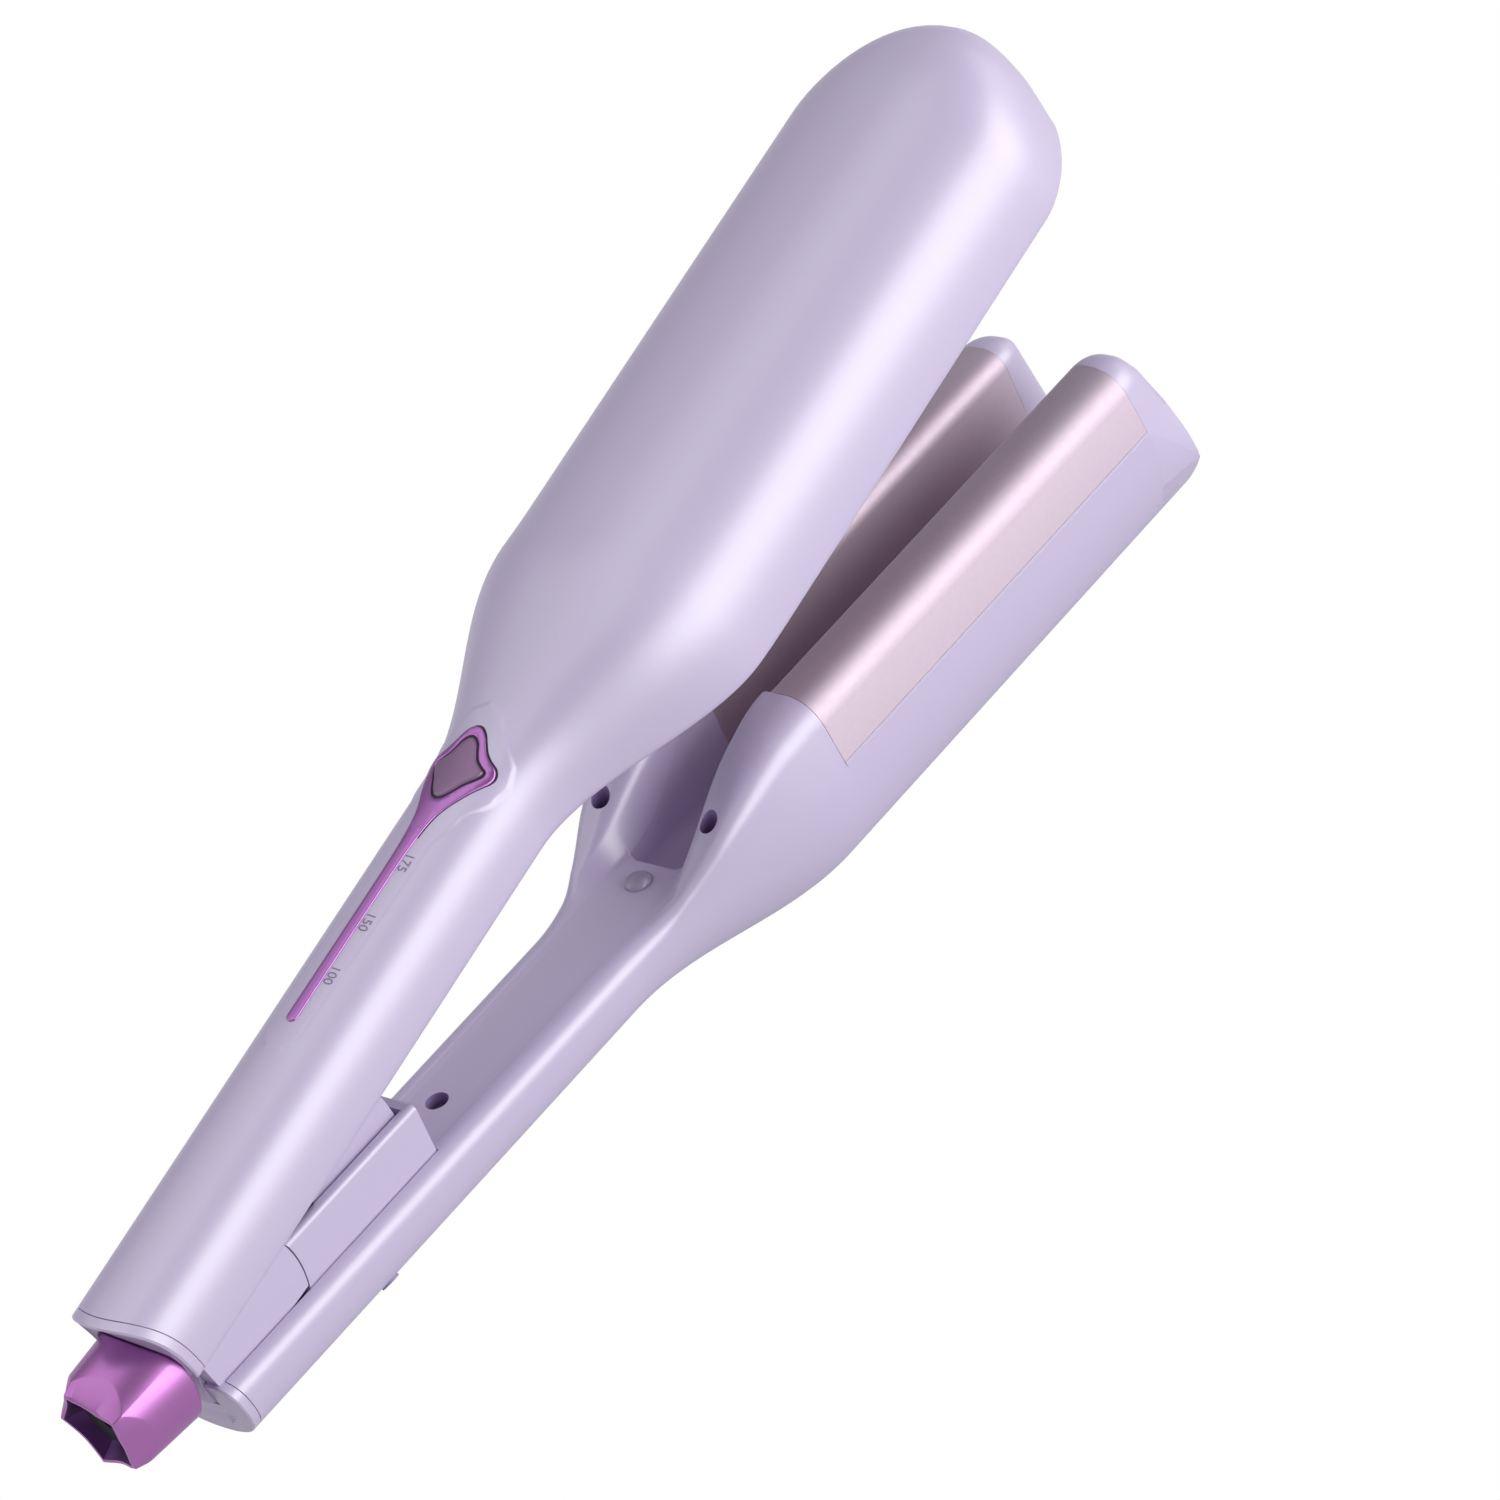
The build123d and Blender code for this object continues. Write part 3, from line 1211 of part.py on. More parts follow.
with BuildPart() as cord_swivel:
    rod(0, tail_z, swivel_head_s, swivel_collar_end_s, swivel_stem_radius)
    rod(0, tail_z, swivel_collar_s, swivel_collar_end_s, swivel_collar_radius)
    rod(0, tail_z, swivel_head_s - swivel_head_length, swivel_head_s, swivel_head_radius)
    rod(0, tail_z, -reach, reach, cord_bore_radius, Mode.SUBTRACT)
cord_swivel.part.label = "cord_swivel"
export_step(cord_swivel.part, "parts/cord_swivel.step")

with BuildPart() as jaw_spring:
    spring_low_z = housing_floor_z + housing_wall + spring_wire + play
    with BuildLine():
        Helix(pitch=spring_pitch, height=spring_turns * spring_pitch, radius=spring_radius,
              center=(butt_x + spring_s, 0, spring_low_z))
    with BuildSketch(Plane(origin=(butt_x + spring_s + spring_radius, 0, spring_low_z),
                           x_dir=(1, 0, 0), z_dir=(0, 1, 0))):
        Circle(spring_wire)
    sweep(is_frenet=True)
jaw_spring.part.label = "jaw_spring"
export_step(jaw_spring.part, "parts/jaw_spring.step")

with BuildPart() as lower_leads:
    for y in (-lower_wire_spread, lower_wire_spread):
        rod(y, lug_seat_z + lower_wire_rise, lower_wire_start_s, plate_start_s - root, wire_radius)
lower_leads.part.label = "lower_leads"
export_step(lower_leads.part, "parts/lower_leads.step")

with BuildPart() as lower_screws:
    drive_screws([(s, y, seat_z + play) for s, y, seat_z, top_z in lower_screw_places], up=-1)
lower_screws.part.label = "lower_screws"
export_step(lower_screws.part, "parts/lower_screws.step")
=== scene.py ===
"""The hair waver: visible skins, finishes and studio, in the shared frame.

Shapes are worked out in millimetres, as (station from the butt, across, height), with the
upper arm drawn level and then swung open about the hinge pin, and placed in metres.
"""
import json
import math

import bmesh
import bpy
from mathutils import Matrix, Vector, geometry


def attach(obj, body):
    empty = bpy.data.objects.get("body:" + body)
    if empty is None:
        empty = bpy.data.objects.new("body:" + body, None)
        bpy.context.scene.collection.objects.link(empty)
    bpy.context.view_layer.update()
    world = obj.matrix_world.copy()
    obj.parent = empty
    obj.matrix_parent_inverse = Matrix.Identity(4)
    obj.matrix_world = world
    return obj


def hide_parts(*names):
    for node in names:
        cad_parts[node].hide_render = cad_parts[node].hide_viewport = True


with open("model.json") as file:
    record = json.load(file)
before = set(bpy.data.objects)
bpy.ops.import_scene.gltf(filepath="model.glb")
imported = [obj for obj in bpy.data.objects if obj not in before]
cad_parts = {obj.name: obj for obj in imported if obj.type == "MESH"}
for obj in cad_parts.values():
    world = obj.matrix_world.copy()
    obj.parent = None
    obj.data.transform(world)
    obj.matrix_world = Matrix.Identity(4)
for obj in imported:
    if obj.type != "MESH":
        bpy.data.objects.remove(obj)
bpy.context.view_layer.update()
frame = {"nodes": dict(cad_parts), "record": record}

# ---- driving dimensions, millimetres -----------------------------------------
MM = 0.001
BUTT_X = -250.0
OPENING = math.radians(12.5)
HINGE_S = 12.0
HINGE_Z = 31.0
SEAM = 0.1
REAR_CAP = 2.4

HANDLE_HALF = 13.4
UPPER_FACE_Z = 36.0
UPPER_HEAD_RIM_Z = 31.0
UPPER_HEAD_HALF = 31.5
HANDLE_CROWN = 19.5
HEAD_CROWN = 32.5
SHOULDER = (128.0, 182.0)
RIM_DIP = (125.0, 192.0)
NOSE_S = 298.0
UPPER_TIP_S = 330.4
INNER_TIP_S = 327.6
NOSE_HALF_POWER = 1.65
NOSE_HEIGHT_POWER = 3.0
SHELL_WALL = 2.4
LIP_HEIGHT = 2.0
HANDLE_ROLL = 2.8
LIP_TUCK = 0.6      # inward lean of the rolled rim, as a share of its height
BUTT_OVERHANG = 4.8
BUTT_FADE = 26.0
FULLNESS = 2.4

FACE_Z = 26.0
HANDLE_DEPTH = 17.0
LOWER_HEAD_HALF = 25.6
BELLY = (130.0, 190.0)
LOWER_RIM_Z = 29.0
BELLY_CUT = 1.0
LOWER_WALL = 2.8
HANDLE_LIP = 4.5
HEAD_LIP = 1.4

PLATE_S = 192.0
PLATE_END_S = 301.0
RIDGE_TOP_Z = 45.0
RIDGE_FOOT_HALF = 25.2
RIDGE_SHOULDER_HALF = 22.4
GROOVE_TOP_HALF = 9.0
GROOVE_BOTTOM_HALF = 7.6
GROOVE_FLOOR_Z = 19.0
OUTER_ROUND = 8.0
INNER_ROUND = 5.2
GROOVE_ROUND = 6.2
PLATE_WALL = 1.5
HAIR_GAP = 1.5

FAIRING_S = 141.0
POCKET_S = 157.0
TAIL_Z = 32.2
TAIL_RADIUS = 12.2
TAIL_END_RADIUS = 11.3
TAIL_S = -1.5
TAIL_END_S = -19.5
BLOCK_HALF = 9.8
HOUSING_END_S = 72.3
BUMPER_S = 151.0

CREASE = 32           # degrees past which an edge stays sharp
MERGED = 0.002        # points this near become one
PAST = 5.0            # how far cutters reach past what they cut
LEAST_RADIUS = 0.01   # corners rounded less than this stay sharp
STRAIGHT = math.radians(89.5)   # half angle past which a corner counts as straight
ROUND_COUNT = 40


# ---- forms of the arms -------------------------------------------------------
def share_of(s, span):
    """0 before a span, 1 after it, and a straight rise between."""
    return min(max((s - span[0]) / (span[1] - span[0]), 0.0), 1.0)


def ease(s, span):
    """0 before a span, 1 after it, and a smooth rise between."""
    t = share_of(s, span)
    return t * t * (3 - 2 * t)


def mix(a, b, share):
    """Value a share of the way from a to b."""
    return a + (b - a) * share


def steps(start, end, count):
    """Both ends and the values between them, in count equal steps."""
    return [mix(start, end, i / count) for i in range(count + 1)]


def stations_of(runs):
    """Stations of stretches given as (from, to, steps)."""
    return [s for start, end, count in runs for s in steps(start, end, count)]


def upper_rim(s):
    """Height of the upper arm's rim, jaw shut."""
    return mix(UPPER_FACE_Z, UPPER_HEAD_RIM_Z, ease(s, RIM_DIP))


def nose(s, tip):
    """Share of the way through the nose, which ends at tip."""
    return share_of(s, (NOSE_S, tip))


def upper_half(s, inset=0.0, tip=UPPER_TIP_S):
    """Half width of the upper arm, less an inset, drawn in along the nose."""
    half = mix(HANDLE_HALF, UPPER_HEAD_HALF, ease(s, SHOULDER)) - inset
    return half * (1 - nose(s, tip) ** NOSE_HALF_POWER) ** (1 / NOSE_HALF_POWER)


def upper_height(s, inset=0.0, tip=UPPER_TIP_S):
    """Rise of the crown over the rim, less an inset, drawn in along the nose."""
    height = mix(HANDLE_CROWN, HEAD_CROWN, ease(s, SHOULDER)) - inset
    return height * (1 - nose(s, tip) ** NOSE_HEIGHT_POWER) ** (1 / NOSE_HEIGHT_POWER)


def upper_lip(s):
    """Height of the rolled bevel along the upper arm's rim."""
    return mix(HANDLE_ROLL, LIP_HEIGHT, ease(s, SHOULDER)) * upper_half(s) / upper_half(min(s, NOSE_S))


def butt_back(s, y, rise):
    """How far the upper butt's end is bowed back, at a width and a rise above the rim."""
    bow = math.sqrt(rise / HANDLE_CROWN) * max(0.0, 1 - (y / HANDLE_HALF) ** 2)
    return BUTT_OVERHANG * bow * (1 - ease(s, (0.0, BUTT_FADE)))


def lower_rim(s):
    """Height of the lower arm's rim."""
    return mix(FACE_Z, LOWER_RIM_Z, ease(s, BELLY))


def lower_half(s):
    """Half width of the lower arm."""
    return mix(HANDLE_HALF, LOWER_HEAD_HALF, ease(s, BELLY))


def lower_depth(s):
    """Depth of the lower arm under its rim, of which the belly's flat cuts off the last."""
    return mix(HANDLE_DEPTH, LOWER_RIM_Z + BELLY_CUT, ease(s, BELLY))


def arch(half, height, count):
    """Full, rounded arch from (half, 0) over the top to (-half, 0)."""
    points = []
    for turn in steps(0, math.pi, count):
        share = math.copysign(abs(math.cos(turn)) ** (2 / FULLNESS), math.cos(turn))
        points.append((half * share, height * abs(math.sin(turn)) ** (2 / FULLNESS)))
    return points


def crown_z(s, y):
    """Height of the upper arm's crown, jaw shut."""
    half = upper_half(s)
    lip = upper_lip(s)
    share = max(0.0, 1 - abs(y / half) ** FULLNESS) ** (1 / FULLNESS)
    return upper_rim(s) + lip + (upper_height(s) - lip) * share


def crown_normal(s, y):
    """Outward direction of the crown at a station and width."""
    small = 0.05
    along_slope = (crown_z(s + small, y) - crown_z(s - small, y)) / (2 * small)
    side_slope = (crown_z(s, y + small) - crown_z(s, y - small)) / (2 * small)
    return Vector((-along_slope, -side_slope, 1)).normalized()


def on_crown(s, y, lift):
    """Point lifted off the crown, as (station, across, height)."""
    out = crown_normal(s, y) * lift
    return (s + out.x, y + out.y, crown_z(s, y) + out.z)


def rounded(points, radii, count=8):
    """Open outline whose inner corners are rounded by arcs, each of count steps."""
    corners = [Vector(p) for p in points]
    line = [corners[0]]
    for before, corner, after, radius in zip(corners, corners[1:], corners[2:], radii):
        back = (before - corner).normalized()
        on = (after - corner).normalized()
        half_angle = back.angle(on) / 2
        if radius < LEAST_RADIUS or half_angle > STRAIGHT:
            line += [corner] * (count + 1)
            continue
        centre = corner + (back + on).normalized() * radius / math.sin(half_angle)
        start = corner + back * radius / math.tan(half_angle) - centre
        end = corner + on * radius / math.tan(half_angle) - centre
        turn = math.pi - 2 * half_angle
        for share in steps(0, 1, count):
            first = math.sin((1 - share) * turn) / math.sin(turn)
            second = math.sin(share * turn) / math.sin(turn)
            line.append(centre + start * first + end * second)
    line.append(corners[-1])
    return [(p.x, p.y) for p in line]


def both_sides(left):
    """Outline from -Y to +Y out of its -Y half."""
    return left + [(-y, z) for y, z in reversed(left)]


def ridge_line(t=0.0):
    """Outline of the lower jaw's ridges, t inside, from -Y to +Y."""
    points = both_sides([
        (-(RIDGE_FOOT_HALF - t), LOWER_RIM_Z + SEAM),
        (-(RIDGE_SHOULDER_HALF - t), RIDGE_TOP_Z - t),
        (-(GROOVE_TOP_HALF + t), RIDGE_TOP_Z - t),
        (-(GROOVE_BOTTOM_HALF + t), GROOVE_FLOOR_Z - t),
    ])
    half = [OUTER_ROUND - t, INNER_ROUND - t, GROOVE_ROUND + t]
    return rounded(points, half + half[::-1])


def trough_line(t=0.0):
    """Outline of the upper jaw's troughs, t behind the metal's face."""
    out = HAIR_GAP + t
    points = both_sides([
        (-(RIDGE_FOOT_HALF + out), UPPER_HEAD_RIM_Z + LIP_HEIGHT),
        (-(RIDGE_SHOULDER_HALF + out), RIDGE_TOP_Z + out),
        (-(GROOVE_TOP_HALF - out), RIDGE_TOP_Z + out),
        (-(GROOVE_BOTTOM_HALF - out), GROOVE_FLOOR_Z + out),
    ])
    half = [OUTER_ROUND + out, INNER_ROUND + out, GROOVE_ROUND - out]
    return rounded(points, half + half[::-1])


# ---- mesh making -------------------------------------------------------------
def placed(point, swung):
    """(station, across, height) in mm to metres in the frame; swung is the upper arm at rest."""
    s, y, z = point
    if swung:
        run = s - HINGE_S
        rise = z - HINGE_Z
        s = HINGE_S + run * math.cos(OPENING) - rise * math.sin(OPENING)
        z = HINGE_Z + run * math.sin(OPENING) + rise * math.cos(OPENING)
    return ((BUTT_X + s) * MM, y * MM, z * MM)


def linked(name, data):
    """New object in the scene."""
    thing = bpy.data.objects.new(name, data)
    bpy.context.scene.collection.objects.link(thing)
    return thing


def solid(name, points, faces, coat, swung, merge=MERGED):
    """Object from millimetre points, its doubled points joined and its faces turned outwards."""
    mesh = bpy.data.meshes.new(name)
    mesh.from_pydata([placed(p, swung) for p in points], [], faces)
    work = bmesh.new()
    work.from_mesh(mesh)
    bmesh.ops.remove_doubles(work, verts=work.verts, dist=merge * MM)
    bmesh.ops.recalc_face_normals(work, faces=work.faces)
    work.to_mesh(mesh)
    work.free()
    mesh.materials.append(coat)
    return linked(name, mesh)


def make(name, points, faces, body, coat, swung=False, crease=CREASE, merge=MERGED):
    """Piece that rides on a body, smooth but for edges sharper than crease degrees."""
    piece = solid(name, points, faces, coat, swung, merge)
    smooth(piece, crease)
    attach(piece, body)
    return piece


def smooth(piece, crease):
    """Smooth shading, but for edges sharper than crease degrees."""
    piece.data.shade_smooth()
    piece.data.set_sharp_from_angle(angle=math.radians(crease))


def skin(rings, caps=(True, True)):
    """Points and faces of a skin over closed rings of equal length."""
    count = len(rings[0])
    points = [p for ring in rings for p in ring]
    faces = []
    for i in range(len(rings) - 1):
        for j in range(count):
            a = i * count + j
            b = i * count + (j + 1) % count
            faces.append((a, b, b + count, a + count))
    if caps[0]:
        faces.append(tuple(range(count)))
    if caps[1]:
        faces.append(tuple(range(len(points) - count, len(points))))
    return points, faces


def prism(outline, stations):
    """Rings of one (across, height) outline along the arm."""
    return [[(s, y, z) for y, z in outline] for s in stations]


def cut(piece, cutters, crease=CREASE):
    """Takes closed cutters out of a piece and throws them away."""
    for tool in cutters:
        step = piece.modifiers.new("cut", "BOOLEAN")
        step.object = tool
        step.operation = "DIFFERENCE"
        step.solver = "EXACT"
        step.material_mode = "TRANSFER"
    bpy.context.view_layer.update()
    ready = piece.evaluated_get(bpy.context.evaluated_depsgraph_get())
    mesh = bpy.data.meshes.new_from_object(ready)
    piece.modifiers.clear()
    piece.data = mesh
    for tool in cutters:
        bpy.data.objects.remove(tool)
    smooth(piece, crease)


def cutter(points, faces, swung=False, wall_finish=None):
    """Closed cutting body, in mm.  The finish it is given goes on the walls it leaves; for wells that
    finish is painted shade.
    """
    return solid("cutter", points, faces, wall_finish or PEARL, swung)


def slot_cutter(end_s, half, floor_z):
    """Slot in the lower handle's face, from behind the butt to end_s."""
    top_z = UPPER_FACE_Z + PAST
    ring = [(-half, floor_z), (half, floor_z), (half, top_z), (-half, top_z)]
    return cutter(*skin(prism(ring, (-PAST, end_s))))


def round_ring(s, y, z, radius):
    """Level circle."""
    ring = []
    for turn in steps(0, 2 * math.pi, ROUND_COUNT)[:-1]:
        ring.append((s + radius * math.cos(turn), y + radius * math.sin(turn), z))
    return ring


def hole_cutter(s, y, floor_z, radius):
    """Round well in the lower arm, down to floor_z, its walls in painted shade."""
    rings = [round_ring(s, y, z, radius) for z in (floor_z, RIDGE_TOP_Z + PAST)]
    return cutter(*skin(rings), wall_finish=PAINTED_WELL_SHADE)


# ---- finishes ----------------------------------------------------------------
GRAIN_SIZE = 900.0
GRAIN_DETAIL = 3.0
GLOSS_SPREAD = 0.08
COAT_ROUGHNESS = 0.12
FRAME_CREASE = 30


def finish(name, colour, roughness, metallic=0.0, coat=0.0, grain=0.0, **more):
    """Principled finish with a little procedural unevenness in tone and gloss."""
    material = bpy.data.materials.new(name)
    material.use_nodes = True
    nodes = material.node_tree.nodes
    links = material.node_tree.links
    shader = nodes["Principled BSDF"]
    place = nodes.new("ShaderNodeTexCoord")
    noise = nodes.new("ShaderNodeTexNoise")
    noise.inputs["Scale"].default_value = GRAIN_SIZE
    noise.inputs["Detail"].default_value = GRAIN_DETAIL
    links.new(place.outputs["Object"], noise.inputs["Vector"])
    tone = nodes.new("ShaderNodeMixRGB")
    tone.blend_type = "MIX"
    tone.inputs["Color1"].default_value = (*colour, 1)
    tone.inputs["Color2"].default_value = (*[c * (1 - grain) for c in colour], 1)
    links.new(noise.outputs["Fac"], tone.inputs["Fac"])
    links.new(tone.outputs["Color"], shader.inputs["Base Color"])
    gloss = nodes.new("ShaderNodeMapRange")
    gloss.inputs["To Min"].default_value = roughness * (1 - GLOSS_SPREAD)
    gloss.inputs["To Max"].default_value = roughness * (1 + GLOSS_SPREAD)
    links.new(noise.outputs["Fac"], gloss.inputs["Value"])
    links.new(gloss.outputs["Result"], shader.inputs["Roughness"])
    shader.inputs["Metallic"].default_value = metallic
    shader.inputs["Coat Weight"].default_value = coat
    shader.inputs["Coat Roughness"].default_value = COAT_ROUGHNESS
    for key, value in more.items():
        shader.inputs[key.replace("_", " ")].default_value = value
    return material


def linear(red, green, blue):
    """Colour from its 0-255 screen values."""
    return tuple(((c / 255 + 0.055) / 1.055) ** 2.4 for c in (red, green, blue))


PEARL = finish("pearl_lavender", linear(196, 184, 214), 0.38, coat=0.12, grain=0.02, IOR=2.3)
# painted shade: a darker copy of the pearl for the walls of wells and openings
PAINTED_WELL_SHADE = finish("painted_well_shade", linear(146, 124, 172), 0.5, grain=0.05)
ROSE = finish("rose_plate", linear(208, 192, 204), 0.58, metallic=1.0, grain=0.04)
MAGENTA = finish("magenta_chrome", linear(184, 124, 192), 0.3, metallic=1.0, grain=0.03)
TAIL = finish("magenta_tail", linear(190, 126, 192), 0.34, metallic=1.0, grain=0.03)
MAUVE = finish("button_mauve", linear(146, 116, 148), 0.42, metallic=0.5, grain=0.04)
# dark nylon of the carried-over parts; also the painted shadow beside the bezel
NYLON_AND_PAINTED_SHADOW = finish("dark_nylon", linear(40, 34, 46), 0.6, grain=0.1)
CARRIER = finish("heatproof_plastic", linear(176, 160, 204), 0.45, grain=0.04)
STEEL = finish("steel", linear(170, 170, 176), 0.3, metallic=1.0, grain=0.08)
CERAMIC = finish("ceramic", linear(226, 222, 214), 0.55, grain=0.05)
BOARD = finish("board_green", linear(28, 92, 60), 0.5, grain=0.12)
SILICONE = finish("clear_silicone", linear(206, 194, 222), 0.12, coat=0.6, grain=0.02,
                  Transmission_Weight=0.5)
# painted shade: a darker copy of the tail's magenta for the inside of its mouth
PAINTED_MOUTH_SHADE = finish("painted_tail_mouth_shade", linear(74, 34, 92), 0.35, metallic=0.7, grain=0.05)
RUBBER = finish("grey_rubber", linear(158, 146, 182), 0.6, grain=0.08)
LEAD = finish("lead_sleeve", linear(205, 200, 200), 0.6, grain=0.06)
LENS = finish("led_lens", linear(238, 224, 240), 0.25, grain=0.02, Transmission_Weight=0.5)
INK = finish("number_ink", linear(134, 122, 158), 0.5, grain=0.05)

NODE_FINISHES = {
    "shell_gloss": PEARL, "heat_plate": ROSE, "heatproof_plastic": CARRIER, "heater_ceramic": CERAMIC,
    "steel": STEEL, "cutout_metal": STEEL, "magenta_metallic": MAGENTA, "button_mauve": MAUVE,
    "dark_nylon": NYLON_AND_PAINTED_SHADOW, "clear_silicone": SILICONE, "grey_rubber": RUBBER, "lead_sleeve": LEAD,
    "board_green": BOARD, "led_lens": LENS,
}


def dress_frame_nodes():
    """Every carried-over node takes the finish of its slot in the record."""
    for part in frame["record"]["subparts"]:
        piece = frame["nodes"][part["node"]]
        piece.data.materials.clear()
        piece.data.materials.append(NODE_FINISHES[part["material_slot"]])
        smooth(piece, FRAME_CREASE)


# ---- upper arm ---------------------------------------------------------------
ARCH_COUNT = 200
INNER_COUNT = 40
ROLL_STEPS = 6
NOSE_STEPS = 24
# stretches of the shell's sections, finest under the pad
CROWN_RUNS = ((6.0, 60.0, 16), (60.6, 149.0, 221), (150.5, NOSE_S, 72))
END_ROUND = 0.3
MOUTH_WALL = 3.6
MOUTH_SPLAY = 0.9
MOUTH_SPLAY_DEPTH = 9.0
MOUTH_STEPS = 20
MOUTH_FRONT_WALL = 2.5
MOUTH_ARCH_S = 312.0
MOUTH_ARCH_Y = 13.0
MOUTH_ARCH_HALF = 6.2
MOUTH_ARCH_HEIGHT = 9.0
MOUTH_ARCH_COUNT = 32
PAD_STATIONS = (61.0, 61.8, 63.6, 66.0, 112.0, 120.0, 127.0, 131.0, 134.5, 138.5, 142.5, 146.0)
PAD_HALVES = (0.0, 2.6, 4.1, 4.7, 5.4, 7.4, 10.4, 11.0, 10.6, 8.2, 5.0, 0.0)
PAD_LIFT = 0.26
PAD_EDGE = 0.9


def pad_half(s):
    """Half width of the soft pad that carries the star and the strip."""
    for i in range(len(PAD_STATIONS) - 1):
        if PAD_STATIONS[i] <= s <= PAD_STATIONS[i + 1]:
            return mix(PAD_HALVES[i], PAD_HALVES[i + 1], ease(s, PAD_STATIONS[i:i + 2]))
    return 0.0


def pad_lift(s, y):
    """How far the soft pad stands off the crown."""
    half = pad_half(s)
    if half <= 0:
        return 0.0
    end_gap = min(s - PAD_STATIONS[0], PAD_STATIONS[-1] - s)
    inside = min(half - abs(y), end_gap)
    return PAD_LIFT * ease(inside, (0.0, PAD_EDGE))


def rolled_edge(s, side, half, rim, lip, tuck):
    """Bevel of the upper arm's rim, from the crown down, tucked in by tuck."""
    edge = []
    for turn in steps(0, math.pi / 2, ROLL_STEPS)[1:]:
        edge.append((s, side * (half - tuck * (1 - math.cos(turn))), rim + lip * (1 - math.sin(turn))))
    return edge


def crown_ring(s, nose_share):
    """Closed section of the upper shell.  In the nose the inner wall lags behind the outer."""
    inner_s = s if nose_share <= 0 else mix(NOSE_S, INNER_TIP_S, nose_share)
    half = upper_half(s)
    rim = upper_rim(s)
    lip = upper_lip(s)
    tuck = min(LIP_TUCK * lip, half / 4)
    ring = []
    for y, z in arch(half, upper_height(s) - lip, ARCH_COUNT):
        lift = pad_lift(s, y)
        if lift:
            ring.append(on_crown(s, y, lift))
        else:
            ring.append((s - butt_back(s, y, z), y, rim + lip + z))
    inner_half = upper_half(inner_s, SHELL_WALL, INNER_TIP_S)
    inner_height = upper_height(inner_s, SHELL_WALL, INNER_TIP_S)
    ring += rolled_edge(s, -1, half, rim, lip, tuck)
    for y, z in reversed(arch(inner_half, inner_height, INNER_COUNT)):
        ring.append((inner_s - butt_back(s, y, z), y, rim + z))
    ring += reversed(rolled_edge(s, 1, half, rim, lip, tuck))
    return ring


def mouth_cutter():
    """Open underside of the head's end, drawn in with the nose."""
    line = trough_line(0.0)
    first = (line[0][0] - MOUTH_SPLAY, line[0][1] - MOUTH_SPLAY_DEPTH)
    last = (-first[0], first[1])
    outline = [first] + line + [last]
    rings = []
    for s in steps(PLATE_END_S + SEAM, UPPER_TIP_S - MOUTH_FRONT_WALL, MOUTH_STEPS):
        wide = (upper_half(s) - MOUTH_WALL) / (upper_half(PLATE_END_S) - MOUTH_WALL)
        high = (upper_height(s) - MOUTH_WALL) / (upper_height(PLATE_END_S) - MOUTH_WALL)
        ring = [(s, y * wide, UPPER_HEAD_RIM_Z + (z - UPPER_HEAD_RIM_Z) * high) for y, z in outline]
        rings.append(ring + [(s, y * wide, -PAST) for y in (last[0], first[0])])
    return cutter(*skin(rings), swung=True)


def mouth_arch(side):
    """Way out of one trough through the front of the nose."""
    outline = arch(MOUTH_ARCH_HALF, MOUTH_ARCH_HEIGHT, MOUTH_ARCH_COUNT)
    outline += [(-MOUTH_ARCH_HALF, -PAST), (MOUTH_ARCH_HALF, -PAST)]
    outline = [(side * MOUTH_ARCH_Y + y, UPPER_HEAD_RIM_Z + z) for y, z in outline]
    return cutter(*skin(prism(outline, (MOUTH_ARCH_S, UPPER_TIP_S + PAST))), swung=True)


def upper_shell():
    """Crown and sides of the upper arm, hollow and open underneath."""
    stations = [REAR_CAP + SEAM, REAR_CAP + SEAM + END_ROUND] + stations_of(CROWN_RUNS)
    rings = [crown_ring(s, 0) for s in stations]
    for turn in steps(0, math.pi / 2, NOSE_STEPS)[1:]:
        share = math.sin(turn)
        rings.append(crown_ring(mix(NOSE_S, UPPER_TIP_S, share), share))
    piece = make("shell_upper", *skin(rings, caps=(True, False)), "upper_arm", PEARL, swung=True)
    cut(piece, [mouth_cutter(), mouth_arch(-1), mouth_arch(1), star_well_cutter()])
    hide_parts("upper_shell")


# ---- star button, bezel and strip --------------------------------------------
# half outlines seen from above, (station, across)
WAND_SIDE = (
    (68.0, 0.0), (68.3, 0.8), (69.3, 1.3), (75.0, 1.3), (90.0, 1.3), (105.0, 1.35), (112.0, 1.6),
    (117.0, 2.2), (120.3, 3.2), (124.3, 5.2), (127.5, 6.9), (129.6, 8.0), (131.3, 8.25), (132.8, 7.6),
    (133.9, 6.0), (135.2, 4.7), (136.9, 3.6), (138.6, 2.5), (139.7, 1.2), (140.0, 0.0),
)
HOLE_SIDE = (
    (122.6, 0.0), (123.1, 1.3), (124.6, 2.6), (126.8, 4.0), (128.6, 5.4), (130.2, 6.4), (131.4, 6.4),
    (132.2, 5.2), (133.2, 4.0), (134.8, 3.0), (136.4, 2.2), (137.5, 1.1), (137.9, 0.0),
)
# foot below the crown, height above the pad and bevel of the bezel and of the button
WAND_FOOT = -1.2
WAND_RISE = 0.35
WAND_BEVEL = 0.3
BUTTON_FOOT = -5.0
BUTTON_RISE = 0.5
BUTTON_BEVEL = 0.45
BUTTON_GAP = 0.45
BEVEL_CORNER = 0.3    # share of a bevel at which it bends
RAISED_CREASE = 50
RAISED_MERGE = 0.01
RAISED_SPACING = 0.9  # between the points that fill a sheet
STAR_WELL_PLAY = 0.3
STAR_WELL_Z = (UPPER_FACE_Z + 10.0, UPPER_FACE_Z + 30.0)   # from under the crown to above it
SHADOW_START_S = 112.0
SHADOW_SHIFT = (0.28, -0.3)
SHADOW_LIFT = 0.03
SHADOW_SPACING = 1.2
SHADOW_CREASE = 60
MARKS = ((107.5, "175"), (93.0, "150"), (80.0, "100"))
MARK_SIZE = 3.0
MARK_Y = -1.7
MARK_LIFT = 0.06
MARK_MERGE = 0.0001
TOUCHING = 1e-5       # outline points this near are one to the filler


